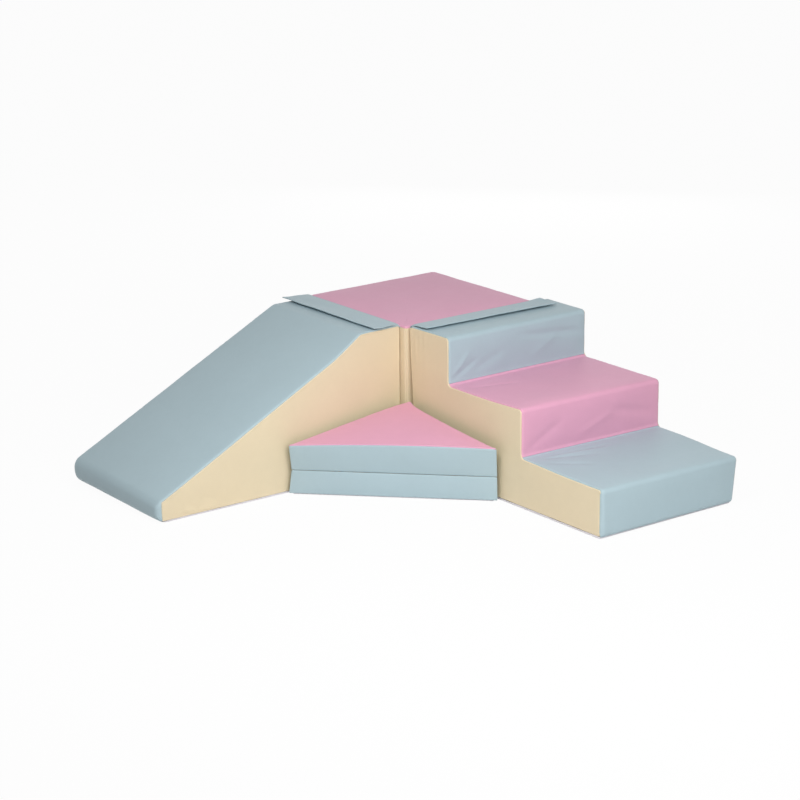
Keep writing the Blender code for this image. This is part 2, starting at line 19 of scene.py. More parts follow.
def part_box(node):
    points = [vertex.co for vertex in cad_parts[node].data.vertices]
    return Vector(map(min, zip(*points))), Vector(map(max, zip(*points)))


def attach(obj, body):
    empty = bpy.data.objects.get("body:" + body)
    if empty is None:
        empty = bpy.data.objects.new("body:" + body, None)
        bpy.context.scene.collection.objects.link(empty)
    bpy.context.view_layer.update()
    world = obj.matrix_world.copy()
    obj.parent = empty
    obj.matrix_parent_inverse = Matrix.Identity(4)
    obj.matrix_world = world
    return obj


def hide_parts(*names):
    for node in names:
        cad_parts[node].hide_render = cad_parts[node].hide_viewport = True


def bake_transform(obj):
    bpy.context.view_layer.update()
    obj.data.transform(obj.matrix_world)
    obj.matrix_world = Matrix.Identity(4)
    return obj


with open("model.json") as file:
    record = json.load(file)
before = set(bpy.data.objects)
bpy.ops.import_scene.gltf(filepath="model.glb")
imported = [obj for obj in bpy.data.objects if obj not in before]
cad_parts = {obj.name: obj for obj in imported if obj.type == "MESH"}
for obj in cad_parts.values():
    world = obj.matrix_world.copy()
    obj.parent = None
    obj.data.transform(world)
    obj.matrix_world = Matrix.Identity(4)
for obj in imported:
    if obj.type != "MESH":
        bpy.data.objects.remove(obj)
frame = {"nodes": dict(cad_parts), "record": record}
scene = bpy.context.scene
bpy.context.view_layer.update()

# %% [markdown]
# ## The camera
#
# The photograph was taken from eight metres away with a long lens, from a little above the top of the block.
# The camera's distance, turn and height were fitted to the edges of the object, together with its sizes.
# Blender's camera looks along its own -Z, so its axes are worked out one by one and set as a matrix.

# %% The camera
TARGET = Vector((-0.2473, -0.2139, 0.2028))
DISTANCE, AZIMUTH, ELEVATION, ROLL = 8.0664, -0.6495, 0.2898, -0.0077
FOCAL_PIXELS, IMAGE_PIXELS, SENSOR = 2588.3, 800, 36.0

back = Vector((math.sin(AZIMUTH) * math.cos(ELEVATION), -math.cos(AZIMUTH) * math.cos(ELEVATION),
               math.sin(ELEVATION)))
level = Vector((math.cos(AZIMUTH), math.sin(AZIMUTH), 0.0))
upright = back.cross(level)
right = level * math.cos(ROLL) + upright * math.sin(ROLL)
up = upright * math.cos(ROLL) - level * math.sin(ROLL)

camera = bpy.data.objects.new("camera", bpy.data.cameras.new("camera"))
scene.collection.objects.link(camera)
camera.data.sensor_width = SENSOR
camera.data.lens = FOCAL_PIXELS / IMAGE_PIXELS * SENSOR
camera.data.clip_end = 100.0
turned = Matrix((right, up, back)).transposed().to_4x4()
camera.matrix_world = Matrix.Translation(TARGET + back * DISTANCE) @ turned
scene.camera = camera
scene.view_settings.view_transform = "Standard"
print("lens of %.1f mm, %.2f m from the object" % (camera.data.lens, DISTANCE))

# %% [markdown]
# ## Material maths
#
# A shader is a graph of small nodes. Written out node by node it is long and hard to read, so a wire from a
# node's output is wrapped in a class, and Python's own operators add the Math nodes: `0.4 + 0.1 * grain`
# makes two. Every other node comes from one method, which sets the node's settings first and then its
# sockets.

# %% A wire in a material
class Wire:
    """An output of a node. Its sums, differences and products add Math nodes."""

    def __init__(self, tree, socket=None):
        self.tree, self.socket = tree, socket

    def node(self, kind, sockets=(), output=0, **settings):
        """Adds a node: its settings first, then each socket's value or link, and gives the wire from one
        output."""
        node = self.tree.nodes.new("ShaderNode" + kind)
        for name, value in settings.items():
            setattr(node, name, value)
        for name, value in dict(sockets).items():
            if isinstance(value, Wire):
                self.tree.links.new(value.socket, node.inputs[name])
            else:
                node.inputs[name].default_value = value
        return Wire(self.tree, node.outputs[output] if len(node.outputs) else None)

    def math(self, operation, *values):
        return self.node("Math", dict(enumerate(values)), operation=operation)

    def __add__(self, other):
        return self.math("ADD", self, other)

    def __radd__(self, other):
        return self.math("ADD", other, self)

    def __sub__(self, other):
        return self.math("SUBTRACT", self, other)

    def __rsub__(self, other):
        return self.math("SUBTRACT", other, self)

    def __mul__(self, other):
        return self.math("MULTIPLY", self, other)

    def __rmul__(self, other):
        return self.math("MULTIPLY", other, self)

    def mix(self, first, second):
        """The colour that goes from the first to the second as this wire goes from 0 to 1."""
        return self.node("Mix", {0: self, 6: first, 7: second}, output=2, data_type="RGBA")


def new_material(name):
    """An empty material with its principled shader and output, as a wire to build on and the shader's
    node."""
    material = bpy.data.materials.new(name)
    material.use_nodes = True
    shader = material.node_tree.nodes["Principled BSDF"]
    return material, Wire(material.node_tree), shader


def connect(wire, shader, **sockets):
    """Sets or links the shader's sockets; an underscore in a name stands for a space."""
    for name, value in sockets.items():
        socket = shader.inputs[name.replace("_", " ")]
        if isinstance(value, Wire):
            wire.tree.links.new(value.socket, socket)
        else:
            socket.default_value = value


# %% [markdown]
# ## Leatherette
#
# The covers are a soft coated cloth with a low sheen. Up close it has a grain of small rounded pebbles with
# fine creases between them, about a millimetre across. Cells of a Voronoi texture make the pebbles, and a
# second, finer noise keeps them from looking regular. The creases are a little rougher than the pebbles, and
# their colour is darker: painted shade. The dye varies slowly over each panel by a percent or two.

# %% Leatherette
GRAIN_DEPTH = 0.00010


def shade(colour, share=1.0):
    """The colour made darker or lighter, as the four numbers that a socket takes."""
    return tuple(min(1.0, part * share) for part in colour) + (1.0,)


def leatherette(name, colour):
    """Pebble grain: 1 - distance to the nearest cell point, 1.1 mm apart, plus fine noise, as height. The
    colour is darker in the creases, which is painted shade, and varies slowly at random."""
    material, wire, shader = new_material(name)
    place = wire.node("TexCoord", output=3)
    wobble = wire.node("TexNoise", {"Vector": place, "Scale": 420.0, "Detail": 1.0}, output=1)
    shift = wire.node("VectorMath", {0: wobble, "Scale": 0.0011}, operation="SCALE")
    bent = wire.node("VectorMath", {0: place, 1: shift}, operation="ADD")
    cells = wire.node("TexVoronoi", {"Vector": bent, "Scale": 900.0}, feature="SMOOTH_F1")
    fine = wire.node("TexNoise", {"Vector": place, "Scale": 2600.0, "Detail": 2.0})
    cloudy = wire.node("TexNoise", {"Vector": place, "Scale": 7.0, "Detail": 2.0})
    streaky = wire.node("TexNoise", {"Vector": place, "Scale": 45.0, "Detail": 3.0})
    height = 1.0 - cells + 0.25 * fine
    # Colour: painted shade, darker in the grain's creases, and the slow random tone of the dye.
    painted_shade_and_tone = 0.55 * cells + 0.45 * cloudy + 0.25 * streaky - 0.12
    bump = wire.node("Bump", {"Strength": 0.5, "Distance": GRAIN_DEPTH, "Height": height})
    connect(wire, shader, Base_Color=painted_shade_and_tone.mix(shade(colour, 1.05), shade(colour, 0.93)),
            Roughness=0.40 + 0.16 * cells + 0.08 * streaky, Normal=bump,
            Specular_IOR_Level=0.42, Sheen_Weight=0.06, Sheen_Roughness=0.5)
    return material


BLUE = leatherette("leatherette_blue", (0.418, 0.540, 0.587))
PINK = leatherette("leatherette_pink", (0.770, 0.382, 0.530))
CREAM = leatherette("leatherette_cream", (0.766, 0.650, 0.452))
print("three colours of leatherette")

# %% [markdown]
# ## Cloths, foam and metal
#
# The base is a matt woven cloth: sets of fine ridges that cross. The zip's tape and the sewing thread are
# woven more tightly. The foam has open pores, and finer pits stand for the hooks and the loops of the
# touch-close tape. All of them read the Object coordinates, which are metres, so their scale is true.

# %% Cloths, foam and metal
def woven(name, colour, threads, depth):
    """Sets of sine ridges that cross, with this many threads to the metre. Colour: painted shade between
    them.
    """
    material, wire, shader = new_material(name)
    place = wire.node("TexCoord", output=3)
    waves_per_metre = threads / 20.0 * math.pi
    sets = [wire.node("TexWave", {"Vector": place, "Scale": waves_per_metre, "Distortion": 0.4, "Detail": 1.0,
                                  "Detail Scale": 2.0}, bands_direction=way) for way in "XYZ"]
    cloudy = wire.node("TexNoise", {"Vector": place, "Scale": 60.0, "Detail": 4.0})
    weave = (sets[0] + sets[1] + sets[2]) * 0.333
    # Colour: painted shade, darker between the threads and lighter on them, plus a slow random tone.
    painted_shade_and_tone = weave * 0.88 + 0.12 * cloudy
    bump = wire.node("Bump", {"Strength": 0.6, "Distance": depth, "Height": weave})
    connect(wire, shader, Base_Color=painted_shade_and_tone.mix(shade(colour, 0.86), shade(colour, 1.06)),
            Roughness=0.78 + 0.12 * cloudy, Normal=bump)
    return material


def porous(name, colour, pores, depth):
    """Round pits: the distance to the nearest cell point, with this many cells to the metre. Their colour is
    darker in the pits: painted shade.
    """
    material, wire, shader = new_material(name)
    place = wire.node("TexCoord", output=3)
    cells = wire.node("TexVoronoi", {"Vector": place, "Scale": pores})
    fine = wire.node("TexNoise", {"Vector": place, "Scale": pores * 2.0, "Detail": 3.0})
    bump = wire.node("Bump", {"Strength": 0.8, "Distance": depth, "Height": cells + 0.4 * fine})
    # Colour: painted shade, darker in the pits, plus a little random tone from the fine noise.
    painted_shade_and_tone = cells * 0.9 + 0.2 * fine
    connect(wire, shader, Base_Color=painted_shade_and_tone.mix(shade(colour, 0.72), shade(colour)),
            Roughness=0.85 + 0.1 * fine, Normal=bump)
    return material


def smooth(name, colour, roughness, metallic):
    """A smooth surface with faint scratches in its roughness."""
    material, wire, shader = new_material(name)
    place = wire.node("TexCoord", output=3)
    fine = wire.node("TexNoise", {"Vector": place, "Scale": 900.0, "Detail": 3.0})
    bump = wire.node("Bump", {"Strength": 0.2, "Distance": 0.00005, "Height": fine})
    connect(wire, shader, Base_Color=fine.mix(shade(colour, 0.9), shade(colour)),
            Roughness=roughness + 0.16 * fine, Metallic=metallic, Normal=bump)
    return material


BASE_CLOTH = woven("base_cloth", (0.74, 0.71, 0.75), 900.0, 0.00012)
FOAM = porous("foam", (0.83, 0.80, 0.70), 900.0, 0.0006)
HOOK = porous("hook_tape", (0.30, 0.37, 0.42), 1300.0, 0.0005)
LOOP = porous("loop_tape", (0.36, 0.45, 0.50), 1700.0, 0.0004)
ZIP_CLOTH = woven("zip_tape", (0.70, 0.66, 0.58), 1400.0, 0.00008)
METAL = smooth("zip_slider", (0.62, 0.62, 0.63), 0.26, 1.0)
ZIP_TEETH = smooth("zip_teeth", (0.78, 0.74, 0.66), 0.30, 0.0)
THREAD = woven("thread_blue", (0.50, 0.60, 0.65), 2600.0, 0.00005)
FINISHES = {"leatherette_blue": BLUE, "leatherette_pink": PINK, "leatherette_cream": CREAM,
            "base_cloth": BASE_CLOTH, "foam": FOAM, "hook_tape": HOOK, "loop_tape": LOOP,
            "zip_tape": ZIP_CLOTH, "zip_slider": METAL}
print(len(FINISHES), "finishes that the record names, and two for teeth and thread")

# %% [markdown]
# ## From grids of points to closed pieces
#
# Each panel is a surface worked out as whole arrays, and then given a thickness, because real cloth has one
# and because a closed body has no holes when it is exported. The inner side is the outer one moved in along
# its own normals, and a rim joins the two. Which way round the faces run decides which way they point, so
# that is settled in one place, against a direction that is known to point outwards.

# %% Closed pieces
def grid_quads(rows, columns):
    """Quads of a grid, numbered row by row, that face along (row direction) x (column direction)."""
    index = np.arange(rows * columns).reshape(rows, columns)
    return np.stack([index[:-1, :-1], index[1:, :-1], index[1:, 1:], index[:-1, 1:]], -1).reshape(-1, 4)


def unit(vectors):
    """The same directions, each with a length of 1."""
    return vectors / np.linalg.norm(vectors, axis=-1, keepdims=True)


def vertex_normals(points, quads):
    """Unit normals: the cross product of each face's diagonals, summed at its corners."""
    a, b, c, d = (points[quads[:, k]] for k in range(4))
    face = np.cross(c - a, d - b)
    total = np.zeros_like(points)
    for k in range(4):
        np.add.at(total, quads[:, k], face)
    return total / np.maximum(np.linalg.norm(total, axis=1, keepdims=True), 1e-12)


def weld(points, quads):
    """Merges points that coincide to a micrometre, and drops the quads that this flattens to a line."""
    keys = np.round(points * 1e6).astype(np.int64)
    _, first, same = np.unique(keys, axis=0, return_index=True, return_inverse=True)
    quads = same.ravel()[quads]
    repeated = (quads == np.roll(quads, -1, axis=1)).sum(axis=1)
    return points[first], quads[repeated < 2]


def open_edges(quads, count):
    """The edges that only one face has, each in that face's own direction."""
    edges = np.stack([quads, np.roll(quads, -1, axis=1)], -1).reshape(-1, 2)
    edges = edges[edges[:, 0] != edges[:, 1]]
    return edges[~np.isin(edges[:, 0] * count + edges[:, 1], edges[:, 1] * count + edges[:, 0])]


def make_object(name, points, quads, material):
    """A smooth shaded mesh at the origin. A quad with a repeated corner becomes a triangle."""
    repeated = quads == np.roll(quads, -1, axis=1)
    polygons = [quads[~repeated.any(axis=1)]]
    for corner in range(4):
        polygons.append(np.delete(quads[repeated[:, corner]], corner, axis=1))
    loops = np.concatenate([block.ravel() for block in polygons])
    sizes = np.concatenate([np.full(len(block), block.shape[1]) for block in polygons])
    mesh = bpy.data.meshes.new(name)
    mesh.vertices.add(len(points))
    mesh.vertices.foreach_set("co", points.astype(np.float32).ravel())
    mesh.loops.add(len(loops))
    mesh.loops.foreach_set("vertex_index", loops.astype(np.int32))
    mesh.polygons.add(len(sizes))
    mesh.polygons.foreach_set("loop_start", (np.cumsum(sizes) - sizes).astype(np.int32))
    mesh.update(calc_edges=True)
    mesh.validate()
    mesh.shade_smooth()
    mesh.materials.append(material)
    piece = bpy.data.objects.new(name, mesh)
    scene.collection.objects.link(piece)
    return piece


def slab_quads(quads, count):
    """A surface's quads, the same turned round for its inner side, count points on, and a rim between the
    two."""
    a, b = open_edges(quads, count).T
    rim = np.stack([a, a + count, b + count, b], -1)
    return np.concatenate([quads, quads[:, ::-1] + count, rim])


def thicken(name, points, quads, thickness, material, outward=None):
    """A closed slab: the outer surface, and the same moved in along its normals. It faces the outward
    direction."""
    points, quads = weld(points.reshape(-1, 3), quads)
    normals = vertex_normals(points, quads)
    if outward is not None and (normals @ np.asarray(outward, float)).sum() < 0:
        quads, normals = quads[:, ::-1], -normals
    both_sides = np.concatenate([points, points - normals * thickness])
    return make_object(name, both_sides, slab_quads(quads, len(points)), material)


def dress(piece, body, slot, *nodes):
    """The piece rides on a body and stands for these CAD nodes, which are hidden. The slot is not used."""
    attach(piece, body)
    if nodes:
        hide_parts(*nodes)
    return piece


def slot_of(node):
    """The material slot that the record gives a CAD node."""
    return next(part["material_slot"] for part in frame["record"]["subparts"] if part["node"] == node)


def finish_of(node):
    """The material for that slot."""
    return FINISHES[slot_of(node)]


print("a grid of 3 by 3 points has", len(grid_quads(3, 3)), "quads")

# %% [markdown]
# ## Where the grid lines go
#
# A seam's groove is only two millimetres wide, while the middle of a panel is nearly flat. So the grid lines
# crowd together next to seams and round tight bends, and spread out in between. The spacing is written as a
# number at every point of the way, and the lines go where its running sum passes whole numbers.

# %% Stations
FINE, GROWTH = 0.0006, 0.35


def stations(way, spacing):
    """Places along way so that neighbours are about the given spacing apart: the running sum of ds /
    spacing."""
    passed = np.diff(way) * 2.0 / (spacing[1:] + spacing[:-1])
    total = np.concatenate([[0.0], np.cumsum(passed)])
    count = max(3, int(math.ceil(total[-1])) + 1)
    return np.interp(np.linspace(0.0, total[-1], count), total, way)


def across(low, high, coarse=0.0055, fine=FINE):
    """Stations from low to high: fine at both ends, and wider apart by GROWTH times the distance from
    them."""
    way = np.linspace(low, high, 2001)
    return stations(way, np.minimum(coarse, fine + GROWTH * np.minimum(way - low, high - way)))


def ramp(value, start, end):
    """A smooth step from 0 at start to 1 at end: 3 t^2 - 2 t^3."""
    t = np.clip((value - start) / (end - start), 0, 1)
    return t * t * (3 - 2 * t)


print("a 0.5 m panel has", len(across(0, 0.5)), "grid lines")

# %% [markdown]
# ## Soft outlines
#
# Seen from the side, every module is a polygon with rounded corners. A sewn cover can't hold a sharp corner:
# the foam under it gives way. The outline is sampled closely, with its outward normal and its distance along
# the way, so that anything can be carried along it.
#
# A line that runs inside the outline, such as a seam, is found by going inwards from it. Where the corners
# are round the way in is the normal. A pad with sharp tips needs its way in to bend towards one middle point,
# or lines from both sides of the tip would cross.

# %% Outlines
SAMPLE, STRAIGHT = 0.0005, 1.0


class Outline:
    """A closed polygon with rounded corners. At each corner an arc of its radius touches both sides. Every
    sample knows its bend's radius, which is a metre where the outline is straight, and its side's number,
    which goes over from one side's to the next one's round the corner between them."""

    def __init__(self, corners, radii, focus=None):
        corners = np.asarray(corners, float)
        before, after = (unit(np.roll(corners, step, axis=0) - corners) for step in (1, -1))
        half = np.arccos(np.clip((before * after).sum(1), -1, 1)) / 2
        radii = np.broadcast_to(np.asarray(radii, float), (len(corners),))
        cut_back = (radii / np.tan(half))[:, None]
        start, end = corners + before * cut_back, corners + after * cut_back
        centres = corners + unit(before + after) * (radii / np.sin(half))[:, None]
        points, bend, sides, self.arcs = [], [], [], []
        for k in range(len(corners)):
            first, last = start[k] - centres[k], end[k] - centres[k]
            turn = math.atan2(first[0] * last[1] - first[1] * last[0], first @ last)
            count = max(8, int(abs(turn) * radii[k] / SAMPLE) // 2 * 2)
            angle = np.linspace(0.0, turn, count + 1)[:, None]
            arc = centres[k] + np.cos(angle) * first + np.sin(angle) * np.array([-first[1], first[0]])
            self.arcs.append((sum(len(part) for part in points), count))
            gap = start[(k + 1) % len(corners)] - end[k]
            run = end[k] + np.linspace(0, 1, max(3, int(np.linalg.norm(gap) / SAMPLE)) + 1)[1:-1, None] * gap
            points += [arc, run]
            bend += [np.full(len(arc), radii[k]), np.full(len(run), STRAIGHT)]
            sides += [k - 1 + np.linspace(0, 1, len(arc)), np.full(len(run), float(k))]
        self.points, self.bend, self.sides = (np.concatenate(parts) for parts in (points, bend, sides))
        ahead = np.roll(self.points, -1, axis=0) - self.points
        self.lengths = np.concatenate([[0.0], np.cumsum(np.linalg.norm(ahead, axis=1))])
        self.length = self.lengths[-1]
        twice_area = (self.points[:, 0] * ahead[:, 1] - self.points[:, 1] * ahead[:, 0]).sum()
        turning = math.copysign(1.0, twice_area)
        tangent = np.roll(self.points, -1, axis=0) - np.roll(self.points, 1, axis=0)
        self.normals = unit(np.stack([tangent[:, 1], -tangent[:, 0]], -1) * turning)
        self.side_normals = np.stack([after[:, 1], -after[:, 0]], -1) * turning
        self.side_reach = (self.side_normals * corners).sum(1)
        self.focus = focus

    def corner(self, k, share=0.5):
        """How far along the way this share of a corner's arc is."""
        first, count = self.arcs[k]
        return self.lengths[first] + share * (self.lengths[first + count] - self.lengths[first])

    def sample(self, values, places):
        """Values that are known at every sample of the outline, at these distances along the way."""
        places = np.asarray(places) % self.length
        values = np.concatenate([values, values[:1]]).reshape(len(self.lengths), -1)
        found = np.stack([np.interp(places, self.lengths, column) for column in values.T], -1)
        return found[:, 0] if found.shape[1] == 1 else found

    def at(self, places):
        """Points, outward normals n, and vectors w that point outwards so that w . n = 1."""
        points, normals = self.sample(self.points, places), unit(self.sample(self.normals, places))
        if self.focus is None:
            return points, normals, normals
        away = points - np.asarray(self.focus)
        return points, normals, away / (away * normals).sum(1)[:, None]

    def blend(self, values, places):
        """One value for each side, going over from one side's to the next one's round the corner between
        them."""
        values = np.broadcast_to(np.asarray(values, float), (len(self.side_normals),))
        lower = np.floor(self.sides).astype(int)
        share = self.sides - lower
        return self.sample(values[lower] * (1 - share) + values[(lower + 1) % len(values)] * share, places)

    def mitre(self, depths, places):
        """How deep inside a line lies that is parallel to each side, at that side's depth, and has sharp
        corners: the largest of (n_k . p - reach_k + depth_k) / (n_k . n) over the sides k next to the point
        p."""
        points, normals, _ = self.at(places)
        sides = np.append(self.sides, self.sides[0] + len(depths))
        side = np.interp(np.asarray(places) % self.length, self.lengths, sides)
        deepest = np.full(len(points), -1.0)
        for step in (-1, 0, 1):
            k = (np.round(side).astype(int) + step) % len(depths)
            facing = (self.side_normals[k] * normals).sum(1)
            depth = (self.side_normals[k] * points).sum(1) - self.side_reach[k] + np.asarray(depths)[k]
            seen = facing > 0.05
            deepest = np.where(seen, np.maximum(deepest, depth / np.where(seen, facing, 1.0)), deepest)
        return deepest

    def stations(self, start, end, coarse, ends=True):
        """Places from start to end: close together in tight arcs, and at both ends if a seam is there."""
        way = np.linspace(start, end, max(50, int((end - start) / SAMPLE)))
        spacing = np.minimum(coarse, np.maximum(0.0009, 0.10 * self.sample(self.bend, way)))
        if ends:
            spacing = np.minimum(spacing, FINE + GROWTH * np.minimum(way - start, end - way))
        return stations(way, spacing)


trial = Outline([(0, 0), (0.1, 0), (0.1, 0.1), (0, 0.1)], 0.01)
print("a 100 mm square with corners of 10 mm is %.0f mm round" % (trial.length * 1000))

# %% [markdown]
# ## How a sewn cover differs from a solid
#
# Four things make a foam module look soft. Its edges are rounded, and the seam runs somewhere on the
# rounding. At the seam the cloth is pulled into a narrow groove, and the seam allowance under it raises a low
# welt beside it. Away from the seam the cloth swells over the foam by a few millimetres. And close to the
# thread it puckers, in small waves that die away within a couple of centimetres. Each is a height, added
# along the surface's normal.

# %% Heights of sewn cloth
GROOVE, GROOVE_WIDTH = 0.0014, 0.0012
WELT_AWAY, WELT_WIDTH = 0.0032, 0.0016
PUCKER, PUCKER_SIZE, PUCKER_GROUPS, PUCKER_REACH = 0.0004, 0.017, 0.11, 0.014
SWELL_STARTS = 0.006


def waves(x, y, size, seed):
    """Soft noise between about -1 and 1: eight plane waves of about this size in fixed random directions."""
    draw = np.random.default_rng(seed)
    limits = (0, math.tau), (0, math.tau), (0.7, 1.5)
    angles, phases, scales = (draw.uniform(low, high, 8) for low, high in limits)
    total = np.zeros(np.broadcast(x, y).shape)
    for angle, phase, scale in zip(angles, phases, scales):
        total += np.sin((x * math.cos(angle) + y * math.sin(angle)) * math.tau / (size * scale) + phase)
    return total / 3.0


def uneven(height, size, seed):
    """A height that is nothing but slow waves."""
    return lambda x, y: height * waves(x, y, size, seed)


def seam_height(distance, along, seed, welt=0.0):
    """A groove, -g exp(-(d/w)^2), a welt 3 mm beside it, and puckers that die away with exp(-d/reach)."""
    rows = waves(along, 0.0 * along, PUCKER_SIZE, seed) * waves(along, 0.0 * along, PUCKER_GROUPS, seed + 1)
    return (-GROOVE * np.exp(-(distance / GROOVE_WIDTH) ** 2)
            + welt * np.exp(-((distance - WELT_AWAY) / WELT_WIDTH) ** 2)
            + PUCKER * rows * np.exp(-distance / PUCKER_REACH) * (1 - np.exp(-(distance / 0.002) ** 2)))


def fold(x, y, start, end, width, height):
    """One crease or ridge: height exp(-(d/width)^2), where d is the distance from a line that fades at its
    ends."""
    start, end = np.asarray(start, float), np.asarray(end, float)
    way = end - start
    share = ((x - start[0]) * way[0] + (y - start[1]) * way[1]) / (way @ way)
    off = ((x - start[0]) * way[1] - (y - start[1]) * way[0]) / np.linalg.norm(way)
    fade = ramp(share, -0.15, 0.25) * (1 - ramp(share, 0.75, 1.15))
    return height * fade * np.exp(-(off / width) ** 2)


def folds(x, y, wrinkles):
    """The sum of some creases and ridges, each given by its start, end, width and height."""
    return sum(fold(x, y, *wrinkle) for wrinkle in wrinkles)


def held(s, length, reach):
    """Rises from 0 at both ends of a length: (1 - exp(-a/reach)) (1 - exp(-b/reach)) at distances a and b
    from them."""
    s = np.clip(s, 0, length)
    return (1 - np.exp(-s / reach)) * (1 - np.exp(-(length - s) / reach))


def swell(points, loop, height, reach):
    """height (1 - exp(-d/reach)), where d is a smooth distance to the loop: (sum of ds / r^3)^-1/2, times
    root 2."""
    ds = np.linalg.norm(np.roll(loop, -1, axis=0) - loop, axis=1)
    total = np.empty(len(points))
    for k in range(0, len(points), 4000):
        apart = np.linalg.norm(points[k:k + 4000, None, :] - loop[None, :, :], axis=2)
        total[k:k + 4000] = (ds / np.maximum(apart, 1e-4) ** 3).sum(1)
    distance = np.sqrt(2.0 / total)
    return height * (1 - np.exp(-np.maximum(distance - SWELL_STARTS, 0) / reach))


print("the seam's groove is %.1f mm deep" % (GROOVE * 1000))

# %% [markdown]
# ## A module's frame, its covers and its ends
#
# Every module is an outline carried sideways, or upwards for the block and the mat's pads. Its covers run
# along the outline, and plates close the ends. The edge between them is rounded, and the seam lies on it
# where the two colours meet: halfway round on the steps, but all the way round on the slide, whose blue cloth
# turns down over its cream sides. Both cover and plate follow the same rounding from the seam, so they meet
# exactly.

# %% Modules
def round_over(run, radius):
    """An edge of this radius, at arc length run from its start: an angle of run / radius up to a right angle,
    and straight on after that. Gives the depth in from the outline, the drop in from the end, and the
    angle."""
    angle = np.clip(run / radius, 0, math.pi / 2)
    depth = radius * (1 - np.cos(angle)) + np.clip(run - radius * math.pi / 2, 0, None)
    return depth, radius * (1 - np.sin(angle)), angle


def run_to(depth, radius):
    """The arc length at which a rounded edge is this deep: radius arccos(1 - depth / radius), then straight
    on."""
    turned = radius * np.arccos(np.clip(1 - depth / radius, -1, 1))
    return np.where(depth < radius, turned, radius * math.pi / 2 + depth - radius)


class Module:
    """An outline carried sideways: a point is origin + p0 first + p1 second + c side, with c from low to
    high. radii and depths give the edges' radius and the seams' depth at the low end and at the high end."""

    def __init__(self, name, body, origin, first, second, side, outline, low, high, radii, depths):
        self.name, self.body, self.outline, self.low, self.high = name, body, outline, low, high
        self.origin, self.axes = np.asarray(origin, float), np.array([first, second, side], float)
        self.radii, self.depths = radii, depths

    def edge(self, upper, places):
        """The edge's radius, and the arc length from its start to the seam."""
        radius = self.outline.blend(self.radii[upper], places)
        return radius, run_to(self.outline.blend(self.depths[upper], places), radius)

    def carried(self, plan, side):
        """p0 first + p1 second + c side."""
        return plan[..., :1] * self.axes[0] + plan[..., 1:2] * self.axes[1] + side[..., None] * self.axes[2]

    def world(self, plan, side):
        """Points of the object's frame from plan points and sideways places."""
        return self.origin + self.carried(plan, side)

    def heading(self, plan, side):
        """Directions from plan directions and sideways parts."""
        return unit(self.carried(plan, side))


COVER_THICKNESS = 0.0022
FADE = 0.006
RIM_RINGS = 10
ZIP_MARGIN = 0.012


def outward_quads(points, quads, way):
    """The same quads, turned round if they face against the directions given at the points."""
    normals = vertex_normals(points.reshape(-1, 3), quads)
    return quads[:, ::-1] if (normals * way.reshape(-1, 3)).sum() < 0 else quads


def cover(module, node, start, end, heights, seed, coarse=0.005, channel=None):
    """Cloth along the outline from start to end. A column is at a fixed share of the way over the low edge,
    across the flat, or over the high edge, and heights are added along the normal n cos a + side sin a."""
    s = module.outline.stations(start, end, coarse)
    p, n, w = (part[:, None, :] for part in module.outline.at(s))
    (low_radius, low_seam), (high_radius, high_seam) = (
        [value[:, None] for value in module.edge(upper, s)] for upper in (False, True))
    rim = max(low_seam.max(), high_seam.max())
    flat = module.high - module.low - low_radius.mean() - high_radius.mean()
    g = across(0.0, flat + 2 * rim, coarse)[None, :]
    low_share, high_share = np.clip(1 - g / rim, 0, 1), np.clip((g - rim - flat) / rim, 0, 1)
    share = np.clip((g - rim) / flat, 0, 1)
    low_depth, low_drop, low_angle = round_over(low_seam * low_share, low_radius)
    high_depth, high_drop, high_angle = round_over(high_seam * high_share, high_radius)
    side = (1 - share) * (module.low + low_drop) + share * (module.high - high_drop)
    turn = np.cos(low_angle) * np.cos(high_angle)
    way = module.heading(n * turn[..., None], np.sin(high_angle) - np.sin(low_angle))
    from_low = low_seam * (1 - low_share) + share * flat + high_seam * high_share
    from_high = high_seam * (1 - high_share) + (1 - share) * flat + low_seam * low_share
    from_start, from_end = (np.broadcast_to(part[:, None], side.shape) for part in (s - start, end - s))
    nearest = np.minimum(np.minimum(from_low, from_high), np.minimum(from_start, from_end))
    loose = (1 - np.exp(-nearest / FADE)) * heights(from_start, side)
    if channel is not None:
        loose = loose * (1 - channel(from_start, side))
    along = np.broadcast_to(s[:, None], side.shape)
    height = (seam_height(from_low, along, seed) + seam_height(from_high, along, seed + 10)
              + seam_height(from_start, side, seed + 20) + seam_height(from_end, side, seed + 30) + loose)
    points = module.world(p - w * (low_depth + high_depth)[..., None], side) + way * height[..., None]
    quads = outward_quads(points, grid_quads(*side.shape), way)
    piece = thicken(node + "_cover", points, quads, COVER_THICKNESS, finish_of(node))
    dress(piece, module.body, slot_of(node), node)


